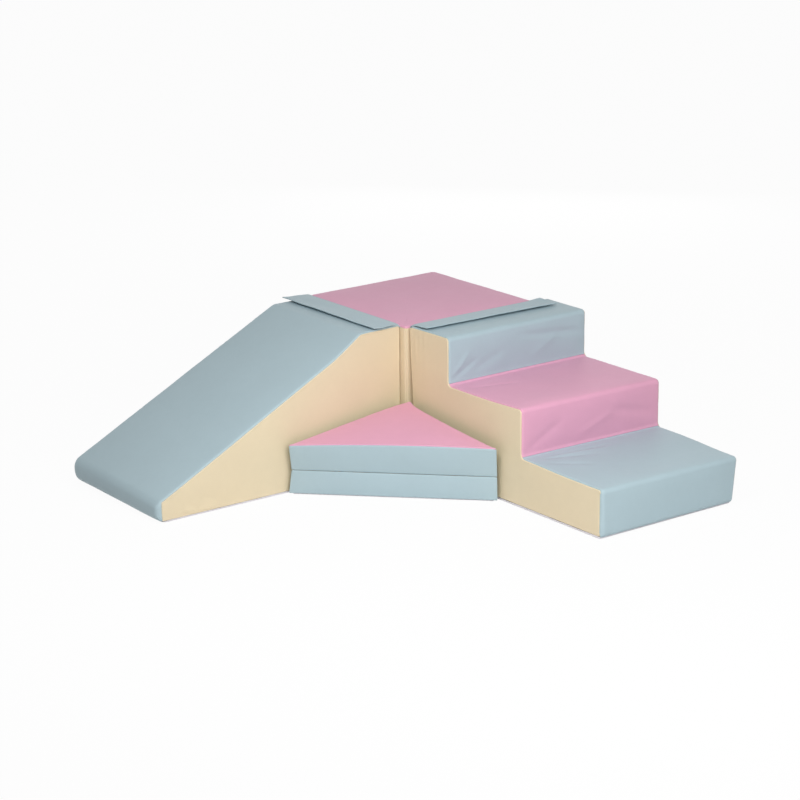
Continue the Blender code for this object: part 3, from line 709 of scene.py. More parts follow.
def plate(module, node, upper, centre, heights, seed, puff=0.002, reach=0.05, rings=46, channel=None):
    """Cloth over one end, ring by ring from the seam to a centre that sees all of it. The first rings follow
    the rounded edge to its end, and the others go straight to the centre."""
    outline = module.outline
    s = outline.stations(0.0, outline.length, 0.006, ends=False)
    p, n, w = outline.at(s)
    radius, seam = module.edge(upper, s)
    last_run = run_to(np.maximum(round_over(seam, radius)[0] + 0.0015, 1.05 * radius), radius)
    run = seam + (last_run - seam) * (np.arange(RIM_RINGS + 1) / RIM_RINGS)[:, None] ** 1.4
    depth, drop, angle = round_over(run, radius)
    rim = p - w * depth[..., None]
    share = ((np.arange(1, rings + 1) / rings) ** 1.25)[:, None, None]
    inner = rim[-1:] + (np.asarray(centre) - rim[-1:]) * share
    plan = np.concatenate([rim, inner])
    flat = np.zeros(inner.shape[:2])
    drop, angle = np.concatenate([drop, flat]), np.concatenate([angle, flat + math.pi / 2])
    distance = np.concatenate([run - seam, last_run - seam + np.linalg.norm(inner - rim[-1:], axis=2)])
    sign, surface = (1.0, module.high) if upper else (-1.0, module.low)
    side = surface - sign * drop
    way = module.heading(n * np.cos(angle)[..., None], sign * np.sin(angle))
    loose = swell(plan.reshape(-1, 2), p - w * 0.004, puff, reach).reshape(side.shape)
    loose = (loose + heights(plan[..., 0], plan[..., 1])) * (1 - np.exp(-distance / FADE))
    if channel is not None:
        loose = loose * (1 - channel(plan[..., 0], plan[..., 1]))
    height = seam_height(distance, s[None, :], seed, welt=0.0006) + loose
    points = module.world(plan, side) + way * height[..., None]
    quads = grid_quads(*side.shape)
    piece = thicken(node + "_cover", points, quads, COVER_THICKNESS, finish_of(node), sign * module.axes[2])
    dress(piece, module.body, slot_of(node), node)


def zip_channel(low, high, bottom, top):
    """1 where a zip lies flat on the cloth, and 0 a margin away from it."""
    def mask(x, z):
        return (ramp(x, low - ZIP_MARGIN, low) * (1 - ramp(x, high, high + ZIP_MARGIN))
                * ramp(z, bottom - ZIP_MARGIN, bottom) * (1 - ramp(z, top, top + ZIP_MARGIN)))
    return mask


print("covers of %.1f mm" % (COVER_THICKNESS * 1000))

# %% [markdown]
# ## The foam
#
# Each cover holds a block of firm foam. It is cut a little smaller than the cover, and its edges are eased.
# It doesn't show while the covers are closed, but it is there, as it is in the real thing. One surface goes
# from the middle of one end over the rounded edge, along the sides and over the other edge to the middle of
# the far end.

# %% Foam blocks
FOAM_EDGE = 0.006


def foam(name, module, body, outline, centre, low, high, node):
    """A closed tube round the outline: rings from the centre of one end to that of the other. Each edge is a
    quarter circle, edge (1 - sin a) deep and edge (1 - cos a) in from the end."""
    s = outline.stations(0.0, outline.length, 0.02, ends=False)
    p, _, w = outline.at(s)
    turn = np.linspace(0.0, math.pi / 2, 7)
    inset, inwards = FOAM_EDGE * (1 - np.sin(turn)), FOAM_EDGE * (1 - np.cos(turn))
    ring = p - w * np.concatenate([inset, inset[::-1]])[:, None, None]
    share = np.linspace(1.0, 0.0, 9)[:-1, None, None]
    near = ring[:1] + (np.asarray(centre) - ring[:1]) * share
    plan = np.concatenate([near, ring, near[::-1]])
    flat = np.zeros(len(near))
    side = np.concatenate([low + flat, low + inwards, (high - inwards)[::-1], high + flat])
    side = np.broadcast_to(side[:, None], plan.shape[:2])
    points, quads = weld(module.world(plan, side).reshape(-1, 3), grid_quads(*plan.shape[:2]))
    piece = make_object(name, points, outward_quads(points, quads, points - points.mean(0)), FOAM)
    dress(piece, body, "foam", node)


print("foam with edges eased by %.0f mm" % (FOAM_EDGE * 1000))

# %% [markdown]
# ## The base cloth
#
# Under each module is a pale, matt cloth that grips the floor. It is turned up round the foot, where it shows
# as a strip six millimetres high. The shape is a tray: one profile, from the strip's top edge down, round a
# small bend and in to the middle of the base, carried round the module's plan. It is placed by the same rule
# as the module's covers, so wherever a cover leans or tapers the tray goes with it.

# %% Base trays
WALL_ROWS, BASE_ROWS = 3, 14
BASE_THICKNESS, BASE_BEND = 0.0011, 0.0030


def tray(node, body, plan, place, strip=0.0068):
    """The profile is a vertical strip, a quarter circle and a line to the centre, all round the plan's
    outline. The strip's height may differ from side to side, and place(ground, height) puts a plan point into
    the object's frame."""
    s = plan.stations(0.0, plan.length, 0.008, ends=False)
    p, _, w = plan.at(s)
    turn = np.linspace(0.0, math.pi / 2, 6)
    inset = np.concatenate([np.zeros(WALL_ROWS), BASE_BEND * (1 - np.cos(turn))])
    bent = p - w * inset[:, None, None]
    share = np.arange(1, BASE_ROWS + 1) / BASE_ROWS
    ground = np.concatenate([bent, bent[-1] + (plan.points.mean(axis=0) - bent[-1]) * share[:, None, None]])
    top = plan.blend(strip, s)
    wall_height = top + (BASE_BEND - top) * (np.arange(WALL_ROWS) / WALL_ROWS)[:, None]
    wall_height = wall_height + 0.0003 * waves(s, 0 * s, 0.09, 5)
    low_height = np.concatenate([BASE_BEND * (1 - np.sin(turn)), np.zeros(BASE_ROWS)])
    height = np.concatenate([wall_height, np.broadcast_to(low_height[:, None], (len(low_height), len(s)))])
    height[:, -1] = height[:, 0]
    quads = grid_quads(*height.shape)
    piece = thicken(node + "_tray", place(ground, height), quads, BASE_THICKNESS, BASE_CLOTH, (0, 0, -1))
    dress(piece, body, "base_cloth", node)


def under(module):
    """How a tray is placed under a module that is carried sideways: the plan's second number is sideways."""
    return lambda ground, height: module.world(np.stack([ground[..., 0], height], -1), ground[..., 1])


def rectangle(x, y):
    """The four corners of a rectangle, from its lowest and highest x and y."""
    return [(x[0], y[0]), (x[1], y[0]), (x[1], y[1]), (x[0], y[1])]


print("a tray's profile has", WALL_ROWS + BASE_ROWS, "rows besides those of its bend")

# %% [markdown]
# ## The slide
#
# The slide is a wedge of foam: a short flat landing, a knee, a slope and a blunt nose. One length of light
# blue cloth covers it from the top of the back to the foot of the nose, and cream panels close the two sides
# and the back. Its outline is given from the foot of the back upwards, and its sides are the back, the
# landing, the slope, the nose and the base. The nose isn't quite square: its foot is pulled in under it, most
# at the far end.

# %% The slide's covers
FLOOR_GAP = 0.004
HEIGHT = 0.450
SLIDE_BACK, LANDING, SLIDE_END, NOSE = -0.003, 0.155, 0.905, 0.078
SLIDE_CORNERS = [(SLIDE_BACK, FLOOR_GAP), (SLIDE_BACK, HEIGHT), (LANDING, HEIGHT), (SLIDE_END, NOSE),
                 (SLIDE_END, FLOOR_GAP)]
slide_outline = Outline(SLIDE_CORNERS, [0.012, 0.014, 0.035, 0.035, 0.026])


class Slide(Module):
    """The seam runs parallel to the outline, with sharp corners. The slope sinks towards its near edge, by 12
    mm at the knee and 18 mm at the nose. The foot is tucked in by t ((1 - z / 55 mm) above 0)^2, where t goes
    from 22 mm far to 2 mm near, and the near side draws in by 13 mm where it meets the block."""

    def edge(self, upper, places):
        radius = self.outline.blend(self.radii[upper], places)
        return radius, run_to(self.outline.mitre(self.depths[upper], places), radius)

    def world(self, plan, side):
        p, z = plan[..., 0], plan[..., 1]
        near = (side - self.low) / (self.high - self.low)
        foot = np.clip(1 - z / 0.055, 0, 1) ** 2 * ramp(p, 0.78, 0.90)
        sink = 0.0125 * ramp(p, 0.13, 0.27) + 0.0060 * ramp(p, 0.25, 0.85)
        sink = sink * near ** 2 * np.clip(z / NOSE, 0, 1)
        draw = 0.013 * near * (1 - ramp(p, 0.0, 0.30))
        return super().world(np.stack([p - (0.022 - 0.020 * near) * foot, z - sink], -1), side - draw)


SLIDE_RADII = [0.0040, 0.0085, 0.0085, 0.0100, 0.005], [0.0040, 0.0085, 0.0085, 0.0150, 0.005]
SLIDE_SEAMS = [0.0012, 0.0035, 0.0050, 0.0190, 0.0022]
slide = Slide("slide", "slide", (-0.260, -0.007, 0.0), (-1, 0, 0), (0, 0, 1), (0, -1, 0), slide_outline,
              -0.239, 0.235, SLIDE_RADII, (SLIDE_SEAMS, SLIDE_SEAMS))
FOOT_SHARE = 0.85
slide_marks = [slide_outline.corner(k, FOOT_SHARE if k == 4 else 0.5) for k in range(5)]


def crowned(c, module, height, reach):
    """Swells away from both ends of a module."""
    return height * held(c - module.low, module.high - module.low, reach)


def panel_heights(module, length, swelling, seed):
    """A panel swells away from its seams on all four sides, and is slowly uneven."""
    def heights(s, c):
        return crowned(c, module, swelling, 0.05) * held(s, length, 0.05) + 0.0003 * waves(s, c, 0.13, seed)
    return heights


def slide_top_heights(s, c):
    """The slope swells most between its edges, and the nose a little."""
    slope = ramp(s, 0.14, 0.34) * (1 - ramp(s, 0.88, 1.02))
    return (crowned(c, slide, 0.0040, 0.05) * slope + 0.0004 * waves(s, c, 0.16, 3) * ramp(s, 0.16, 0.22)
            + crowned(c, slide, 0.0012, 0.03) * ramp(s, 0.98, 1.05))


NOSE_GATHERS = [((0.850, 0.056), (0.806, 0.014), 0.006, -0.0012),
                ((0.806, 0.064), (0.760, 0.024), 0.007, -0.0012),
                ((0.752, 0.082), (0.690, 0.034), 0.009, -0.0010),
                ((0.835, 0.030), (0.700, 0.018), 0.008, 0.0010)]


def slide_near_heights(x, z):
    """Slow unevenness, and the slanting folds in which the cloth gathers behind the foot of the nose."""
    return 0.0003 * waves(x, z, 0.12, 21) + folds(x, z, NOSE_GATHERS)


SLIDE_ZIP = (0.0503, 0.7647)
ZIP_BAND = (0.008, 0.026)
cover(slide, "slide_back", slide_marks[0], slide_marks[1], panel_heights(slide, HEIGHT, 0.0, 11), 100)
cover(slide, "slide_top", slide_marks[1], slide_marks[4], slide_top_heights, 140)
slide_centre = (0.34, 0.20)
plate(slide, "slide_inner_side", True, slide_centre, slide_near_heights, 180, puff=0.0012)
plate(slide, "slide_outer_side", False, slide_centre, uneven(0.0005, 0.12, 31), 220, puff=0.0025,
      channel=zip_channel(*SLIDE_ZIP, *ZIP_BAND))
STRIP_HEIGHTS = [0.0066, 0.0045, 0.0066, 0.0066]
STRIP_INSET = 0.0003
slide_plan = Outline(rectangle((0.001, 0.886), (slide.low + STRIP_INSET, slide.high - STRIP_INSET)),
                     [0.006, 0.02, 0.02, 0.006])
tray("slide_base", "slide", slide_plan, under(slide), STRIP_HEIGHTS)
COVERED, FOAM_FOOT = 0.0032, 0.006
SLIDE_FOAM_CORNERS = [(COVERED, FOAM_FOOT), (COVERED, HEIGHT - COVERED), (LANDING - 0.001, HEIGHT - COVERED),
                      (SLIDE_END - COVERED, NOSE - 0.0015), (SLIDE_END - COVERED, FOAM_FOOT)]
slide_foam = Outline(SLIDE_FOAM_CORNERS, [0.012, 0.012, 0.032, 0.032, 0.022])
foam("slide_foam", slide, "slide", slide_foam, slide_centre,
     slide.low + COVERED, slide.high - COVERED, "slide_core")
print("slide: %.0f mm of cloth from landing to foot" % ((slide_marks[4] - slide_marks[1]) * 1000))

# %% [markdown]
# ## The steps
#
# Three slabs of foam lie in a stack. The cover changes colour in each inner corner: blue, pink, blue. The
# cloth can't follow a sharp inner corner, so it bridges it in an arc, and it is as round over the edges of
# the treads.

# %% The steps' covers
EDGE = 0.0085
STEPS_BACK, STEP_ENDS, LEVELS = -0.0035, (0.186, 0.532, 0.885), (HEIGHT, 0.30, 0.15, FLOOR_GAP)
STEPS_CORNERS = [(STEPS_BACK, FLOOR_GAP), (STEPS_BACK, HEIGHT)]
for end, above, below in zip(STEP_ENDS, LEVELS, LEVELS[1:]):
    STEPS_CORNERS += [(end, above), (end, below)]
steps_outline = Outline(STEPS_CORNERS, [0.012] + 7 * [0.014])


class Steps(Module):
    """A set that children have pushed about isn't quite square. The foot of the back stands 18 mm further out
    than its top, the front leans 7 mm forwards, the far side draws in towards the front, more at its foot,
    and the near side's top bulges 5 mm towards the slide where it meets the block."""

    def world(self, plan, side):
        p, z = plan[..., 0], plan[..., 1]
        far = (side - self.low) / (self.high - self.low)
        front, level = ramp(p, 0.60, 0.88), np.clip(z / 0.15, 0, 1)
        lean = 0.0185 * (1 - z / HEIGHT) * (1 - ramp(p, 0.0, 0.15))
        taper = (0.0150 + 0.0165 * (1 - level)) * ramp(p, 0.50, 0.885) ** 1.5
        lift = 0.006 * (1 - far) * np.exp(-((p - 0.545) / 0.12) ** 2) - 0.0055 * far * front
        bulge = 0.005 * (1 - far) * (1 - ramp(p, 0.0, 0.15)) * ramp(z, 0.1, 0.4)
        moved = np.stack([p + lean + 0.007 * front, z + lift * level], -1)
        return super().world(moved, side - taper * far - bulge)


STEPS_RADII = [EDGE] * 6 + [0.0120, 0.005]
STEPS_SEAMS = [0.0025] * 6 + [0.0120, 0.0025]
steps = Steps("steps", "steps", (0.0335, -0.261, 0.0), (0, -1, 0), (0, 0, 1), (1, 0, 0), steps_outline,
              -0.2725, 0.2790, (STEPS_RADII, [EDGE] * 7 + [0.005]), (STEPS_SEAMS, 0.0025))
SEAM_SHARES = [0.5, 0.5, 0.5, 0.35, 0.5, 0.5, 0.5, FOOT_SHARE]
steps_marks = [steps_outline.corner(k, share) for k, share in enumerate(SEAM_SHARES)]


def tread_heights(first, seed, wrinkles, level):
    """The tread and the riser swell between their seams and the edge that they share, and have some wrinkles.
    The cloth stays level up to a given run, where the loop tape is sewn on."""
    edge, length = (steps_marks[first + k] - steps_marks[first] for k in (1, 2))

    def heights(s, c):
        loose = held(s, length, 0.03) * ramp(s, level, level + 0.04)
        at_edge = np.exp(-((s - edge) / 0.022) ** 2)
        swelling = crowned(c, steps, 0.0030, 0.045) * (1 - 0.8 * at_edge) + 0.0007 * waves(s, c, 0.13, seed)
        return swelling * loose + folds(s, c, wrinkles)
    return heights


TOP_WRINKLES = [((0.219, 0.013), (0.244, 0.270), 0.012, -0.0032),
                ((0.311, -0.252), (0.262, -0.160), 0.009, -0.0024),
                ((0.298, -0.250), (0.235, -0.190), 0.008, 0.0020),
                ((0.300, -0.180), (0.250, -0.050), 0.014, -0.0020),
                ((0.290, 0.060), (0.235, 0.160), 0.014, 0.0018)]
MIDDLE_WRINKLES = [((0.470, -0.250), (0.400, -0.120), 0.014, -0.0022),
                   ((0.437, 0.250), (0.400, 0.080), 0.014, -0.0024),
                   ((0.462, -0.060), (0.405, 0.090), 0.013, 0.0018),
                   ((0.060, -0.240), (0.110, -0.080), 0.010, -0.0016)]
BOTTOM_WRINKLES = [((0.027, -0.215), (0.050, 0.040), 0.009, -0.0024),
                   ((0.036, -0.235), (0.096, -0.060), 0.010, -0.0024),
                   ((0.076, -0.245), (0.156, -0.130), 0.011, -0.0018),
                   ((0.030, -0.240), (0.072, 0.000), 0.008, 0.0016)]


def steps_near_heights(x, z):
    """Slow unevenness, and upright puckers under the flap, which die away within a few centimetres."""
    puckers = np.sin(x * math.tau / 0.022) * np.exp(-(HEIGHT - z) / 0.05) * (1 - ramp(x, 0.075, 0.105))
    return 0.0003 * waves(x, z, 0.12, 51) + 0.0012 * puckers


STEPS_ZIP = (0.0503, 0.4997)
cover(steps, "steps_back", steps_marks[0], steps_marks[1], panel_heights(steps, HEIGHT, 0.0, 41), 260)
NOWHERE = -0.05
TREADS = (("steps_top_cover", 1, 300, TOP_WRINKLES, 0.11),
          ("steps_middle_cover", 3, 340, MIDDLE_WRINKLES, NOWHERE),
          ("steps_bottom_cover", 5, 380, BOTTOM_WRINKLES, NOWHERE))
for node, first, seed, wrinkles, level in TREADS:
    heights = tread_heights(first, seed, wrinkles, level)
    cover(steps, node, steps_marks[first], steps_marks[first + 2], heights, seed)
steps_centre = (0.15, 0.09)
plate(steps, "steps_inner_side", False, steps_centre, steps_near_heights, 420, puff=0.0012)
plate(steps, "steps_outer_side", True, steps_centre, uneven(0.0005, 0.12, 61), 460, puff=0.0025,
      channel=zip_channel(*STEPS_ZIP, *ZIP_BAND))
steps_plan = Outline(rectangle((0.001, 0.8755), (steps.low + STRIP_INSET, steps.high - STRIP_INSET)), 0.008)
tray("steps_base", "steps", steps_plan, under(steps), STRIP_HEIGHTS)
for slab, end, low, high in zip(("top", "middle", "bottom"), STEP_ENDS, (0.298, 0.148, FOAM_FOOT), LEVELS):
    slab_outline = Outline(rectangle((COVERED, end - COVERED), (low, high - COVERED)), 0.010)
    foam("steps_%s_foam" % slab, steps, "steps", slab_outline, slab_outline.points.mean(axis=0),
         steps.low + COVERED, steps.high - COVERED, "steps_%s_core" % slab)
print("steps:", len(steps_marks) - 2, "corners from the landing to the foot")

# %% [markdown]
# ## The corner block
#
# The block is a cube of foam with a pink top and four cream sides. Its outline is its plan, carried upwards,
# so the sides are covers between its corners and the top is the plate at the upper end. The pink cloth turns
# down over the whole of the rounded edge, and its seam lies on the sides.

# %% The block's covers
HALF_BLOCK = 0.255


def square(half):
    """A square about the origin."""
    return rectangle((-half, half), (-half, half))


block_outline = Outline(square(HALF_BLOCK), [EDGE, EDGE, 0.018, EDGE], focus=(0.0, 0.0))
block = Module("block", "corner_block", (0, 0, 0), (1, 0, 0), (0, 1, 0), (0, 0, 1), block_outline,
               FLOOR_GAP, HEIGHT, (0.005, 0.0100), (0.0014, 0.0002))
block_marks = [block_outline.corner(k) for k in range(4)] + [block_outline.corner(0) + block_outline.length]
BLOCK_ZIP = (0.0503, 0.4597)
for k, (node, swelling) in enumerate((("block_steps_side", 0.0008), ("block_end_side", 0.0030),
                                      ("block_back_side", 0.0024), ("block_slide_side", 0.0008))):
    start, end = block_marks[k], block_marks[k + 1]
    cover(block, node, start, end, panel_heights(block, end - start, swelling, 540 + k), 540 + 40 * k,
          channel=zip_channel(*BLOCK_ZIP, *ZIP_BAND) if node == "block_back_side" else None)
plate(block, "block_top", True, (0.0, 0.0), uneven(0.0004, 0.14, 507), 500, puff=0.0050, reach=0.06)
tray("block_base", "corner_block", Outline(square(0.2545), [0.008, 0.008, 0.018, 0.008]), block.world)
block_foam = Outline(square(HALF_BLOCK - COVERED), [0.010, 0.010, 0.018, 0.010])
foam("block_foam", block, "corner_block", block_foam, (0.0, 0.0), FOAM_FOOT, HEIGHT - COVERED, "block_core")
print("block: 5 panels round one piece of foam")

# %% [markdown]
# ## The folding mat
#
# The mat is two triangular pads that are hinged along their long front edges, and it lies shut in the corner
# between slide and steps. The pads are overfilled, so that they swell against each other and the upper one
# stands a little open towards the corner. Each pad is the same outline, carried up through its thickness, and
# a warp thickens it towards the middle. Its tips are nearly sharp, so its way in points to the centre of the
# circle that touches all three sides.

# %% The mat's covers
MAT_DEPTH, PAD, FOLD_SETBACK = 0.3111, 0.077, 0.001
MAT_FOLD = (-0.479, -0.479, PAD)
INNER_CROWN, OUTER_CROWN = 0.0085, 0.005
FRONT_BOW, FRONT_RISE, APEX_RISE = 0.007, 0.0120, 0.012
HALF = math.sqrt(0.5)
GAPE = math.radians(9.5)
half_front = MAT_DEPTH - FOLD_SETBACK
MAT_CORNERS = [(-half_front, FOLD_SETBACK), (half_front, FOLD_SETBACK), (0.0, MAT_DEPTH)]
mat_leg = half_front * math.sqrt(2)
mat_middle = (0.0, FOLD_SETBACK + mat_leg * mat_leg / (2 * mat_leg + 2 * half_front))
mat_outline = Outline(MAT_CORNERS, [0.0012, 0.0012, 0.0080], focus=mat_middle)
mat_marks = [mat_outline.corner(k) for k in range(3)]
EARS = {"lower": ((0.000, 0.010), (0.008, 0.009)), "upper": ((0.000, 0.0055), (0.008, 0.007))}


class Pad(Module):
    """A pad of the mat: side runs from 0 at the fold plane to its thickness. A warp swells both faces. It
    draws the two tips of the front out into ears, as x + e (x / depth)^6, where e goes from its value at the
    fold to that at the face, and it draws out the apex as y^12."""

    def world(self, plan, side):
        x, y, share = plan[..., 0], plan[..., 1], side / PAD
        depth = np.clip(y / MAT_DEPTH, 0, 1)
        arch = np.clip(1 - (x / np.maximum(MAT_DEPTH - y, 1e-6)) ** 2, 0, 1)
        crown = arch * (FRONT_BOW * (1 - depth) + OUTER_CROWN * 4 * depth * (1 - depth))
        rise = FRONT_RISE * (1 - depth) * (1 + 0.50 * x / MAT_DEPTH) + APEX_RISE * depth
        outer = crown + rise if self.name == "upper" else 0.0
        inner = INNER_CROWN * 16 * depth ** 2 * (1 - depth) ** 2 * arch
        left, right = (at_fold + (at_face - at_fold) * share for at_fold, at_face in EARS[self.name])
        ear = np.where(x < 0, -left, right) * np.abs(x / MAT_DEPTH) ** 6
        moved = np.stack([x + ear + 0.020 * depth ** 12, y + 0.005 * depth ** 12], -1)
        return super().world(moved, side + share * outer - (1 - share) * inner)


across_mat, to_apex = np.array([HALF, -HALF, 0]), np.array([HALF, HALF, 0])
upward = np.array([0, 0, 1.0])
upper_apex = math.cos(GAPE) * to_apex + math.sin(GAPE) * upward
upper_up = math.cos(GAPE) * upward - math.sin(GAPE) * to_apex
FOLD_EDGE = [0.0012, 0.0050, 0.0050]
FOLD_SEAM = [0.0040, 0.0045, 0.0045]
lower_pad = Pad("lower", "mat_lower_pad", MAT_FOLD, across_mat, to_apex, -upward, mat_outline,
                0.0003, PAD - 0.002, (FOLD_EDGE, 0.0030), (FOLD_SEAM, 0.0010))
upper_pad = Pad("upper", "mat_upper_pad", MAT_FOLD, across_mat, upper_apex, upper_up, mat_outline,
                0.0003, PAD, (FOLD_EDGE, 0.0055), (FOLD_SEAM, 0.0016))


def band_heights(pad, length, bulge):
    """A band bulges between its two seams: bulge (1 - c^2), with c from -1 at one seam to 1 at the other."""
    def heights(s, c):
        over = (2 * c - pad.low - pad.high) / (pad.high - pad.low)
        return bulge * (1 - over ** 2) * held(s, length, 0.03)
    return heights


MAT_ZIP, MAT_ZIP_BAND = (0.050, 0.390), (0.004, 0.024)
BANDS = (("_front_band", mat_marks[0], mat_marks[1], 0.0021, 700),
         ("_steps_band", mat_marks[1], mat_marks[2], 0.0008, 740),
         ("_slide_band", mat_marks[2], mat_marks[0] + mat_outline.length, 0.0008, 780))
for pad in (lower_pad, upper_pad):
    prefix = "mat_" + pad.name
    for ending, start, end, bulge, seed in BANDS:
        cover(pad, prefix + ending, start, end, band_heights(pad, end - start, bulge), seed, coarse=0.0045,
              channel=zip_channel(*MAT_ZIP, *MAT_ZIP_BAND) if ending == "_steps_band" else None)
    plate(pad, prefix + "_inner_face", False, mat_middle, uneven(0.0, 0.1, 70), 820, puff=0.0, rings=36)
    pad_foam = Outline([(-MAT_DEPTH + 0.012, 0.0045), (MAT_DEPTH - 0.012, 0.0045), (0.0, MAT_DEPTH - 0.006)],
                       [0.0065, 0.0065, 0.014], focus=mat_middle)
    foam(prefix + "_foam", pad, pad.body, pad_foam, mat_middle, 0.004, PAD - 0.005, prefix + "_core")
plate(upper_pad, "mat_upper_top", True, mat_middle, uneven(0.0004, 0.1, 71), 860, puff=0.001, rings=40)
MAT_STRIP_INSET = 0.003
half_strip, strip_front = MAT_DEPTH - 2.4 * MAT_STRIP_INSET, FOLD_SETBACK + MAT_STRIP_INSET
strip_apex = MAT_DEPTH - 1.4 * MAT_STRIP_INSET
mat_plan = Outline([(-half_strip, strip_front), (half_strip, strip_front), (0.0, strip_apex)],
                   [0.004, 0.004, 0.010], focus=mat_middle)
tray("mat_lower_base", "mat_lower_pad", mat_plan,
     lambda ground, height: lower_pad.world(ground, PAD - height), strip=0.0040)
print("mat: two pads with legs of %.0f mm" % (mat_leg * 1000))

# %% [markdown]
# ## The cloth of the fold
#
# The two pads are joined by a strip of cloth that is folded in between them. Each half of the strip lies on a
# pad's inner face, and the fold lies just inside the front edge, so it turns out flat when the mat opens.

# %% The cloth of the fold
FOLD_WIDTH, FOLD_LEG, FOLD_IN, FOLD_CLOTH = 0.58, 0.0150, 0.0042, 0.0005
across_share = across(-1.0, 1.0, 0.02, 0.004)
leg_share = across(-1.0, 0.0, 0.10, 0.01)
leg_share = np.concatenate([leg_share[:-1], [0.0], -leg_share[:-1][::-1]])
depth_in = FOLD_IN + FOLD_LEG * (np.sqrt(leg_share ** 2 + 0.0004) - 0.02)
at_fold = np.exp(-(leg_share / 0.03) ** 2)
height_in = np.where(leg_share < 0, -0.0002, depth_in * math.tan(GAPE) + 0.0002)
height_in = height_in * (1 - at_fold) + 0.0003 * at_fold
strip_points = (np.array(MAT_FOLD) + (across_share * FOLD_WIDTH / 2)[:, None, None] * across_mat
                + depth_in[None, :, None] * to_apex + height_in[None, :, None] * upward)
fold_quads = grid_quads(*strip_points.shape[:2])
fold_cloth = thicken("mat_fold_cloth", strip_points, fold_quads, FOLD_CLOTH, BASE_CLOTH, -to_apex)
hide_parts("mat_lower_fold_leaf", "mat_upper_fold_leaf")
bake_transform(fold_cloth)
print("the strip is %.0f mm wide when it lies flat" % (2000 * FOLD_LEG))

# %% [markdown]
# ## The two flaps
#
# A flap of doubled blue cloth is sewn into each of the block's two front top seams and lies over the module
# next to it. Cloth like this holds a slight curl. The flap leaves the seam upwards, bends over and lies down,
# and its free edge lifts again. The sine of its slope is a falling bell curve, whose area is how far it
# rises.

# %% Flaps
ROOT_HEIGHT, FLAP_RISE, BEND, SETTLE_RISE = 0.4435, 0.0080, 0.011, 0.0040
HEM, STITCH, STITCH_PITCH, THREAD_RADIUS = 0.007, 0.0029, 0.0042, 0.00035
HALF_FLAP, FLAP_EDGE = 0.0017, 0.0022


def on_grid(grid, rows, columns, r, c):
    """Points of a grid between its lines: bilinear, with r along its rows and c along its columns."""
    i = np.clip(np.searchsorted(rows, r) - 1, 0, len(rows) - 2)
    j = np.clip(np.searchsorted(columns, c) - 1, 0, len(columns) - 2)
    a = ((r - rows[i]) / (rows[i + 1] - rows[i]))[:, None]
    b = ((c - columns[j]) / (columns[j + 1] - columns[j]))[:, None]
    near, far = ((1 - b) * grid[row, j] + b * grid[row, j + 1] for row in (i, i + 1))
    return (1 - a) * near + a * far


def stitches(name, starts, ends):
    """Capsules of thread: circles of radius r sin(pi t)^(1/2) round the way from each start to its end."""
    rows, sides = 5, 7
    t = np.linspace(0.0, 1.0, rows)[None, :, None]
    path = starts[:, None, :] + (ends - starts)[:, None, :] * t + 0.0002 * np.sin(math.pi * t) * upward
    ahead = unit(ends - starts)
    beside = np.cross(upward, ahead)
    over = np.cross(ahead, beside)
    turn = np.linspace(0.0, math.tau, sides)[None, None, :, None]
    circle = np.cos(turn) * beside[:, None, None, :] + np.sin(turn) * over[:, None, None, :]
    ring = THREAD_RADIUS * np.sqrt(np.clip(np.sin(math.pi * t), 0, 1))[..., None] * circle
    points = path[:, :, None, :] + ring
    first_points = rows * sides * np.arange(len(starts))[:, None, None]
    quads = outward_quads(points, (grid_quads(rows, sides)[None] + first_points).reshape(-1, 4), ring)
    return make_object(name, *weld(points.reshape(-1, 3), quads), THREAD)


def hem_stitches(name, top, v, u, length, reach):
    """A line of stitches a hem's width in from the flap's three free edges."""
    inset = 1 - 2 * HEM / length
    corners = np.array([(-inset, 0.016), (-inset, reach - HEM), (inset, reach - HEM), (inset, 0.016)])
    lengths = np.linalg.norm(np.diff(corners, axis=0) * (length / 2, 1.0), axis=1)
    way = np.concatenate([[0.0], np.cumsum(lengths)])
    places = np.arange(0.0005, way[-1] - 0.004, STITCH_PITCH)
    starts, ends = (on_grid(top, v, u, np.interp(at, way, corners[:, 1]), np.interp(at, way, corners[:, 0]))
                    for at in (places, places + STITCH))
    return stitches(name, starts, ends)


def flap_middle(v, u, root, along, out, length, widen, settle, shape):
    """The surface between the two layers of cloth, in rows from the seam to the free edge. The sine of its
    slope is rise (2 / (w sqrt pi)) exp(-(v/w)^2), plus a steady rise until the flap settles, plus the curl of
    the outer half. The reach grows by widen from the middle to the far end, and shape(u, v) gives how far
    each point is moved outwards, upwards and along."""
    U, V = np.meshgrid(u, v)
    sine = FLAP_RISE * 2 / (BEND * math.sqrt(math.pi)) * np.exp(-(V / BEND) ** 2)
    sine = sine + SETTLE_RISE / settle * (1 - ramp(V, settle - 0.012, settle + 0.012))
    sine = sine + (0.0035 + 0.0010 * U) * 2 * np.clip(2 * V / v[-1] - 1, 0, None) / (v[-1] / 2)
    cosine = np.sqrt(1 - np.clip(sine, -0.95, 0.95) ** 2)
    run, rise = (np.cumsum(part * np.gradient(v)[:, None], axis=0) for part in (cosine, sine))
    outwards, upwards, aside = shape(U, V)
    run, rise = (run - run[:1]) * (1 + widen * U) + outwards, rise - rise[:1] + upwards
    return (np.asarray(root) + (U * length / 2 + aside)[..., None] * np.asarray(along, float)
            + run[..., None] * np.asarray(out, float) + rise[..., None] * upward)


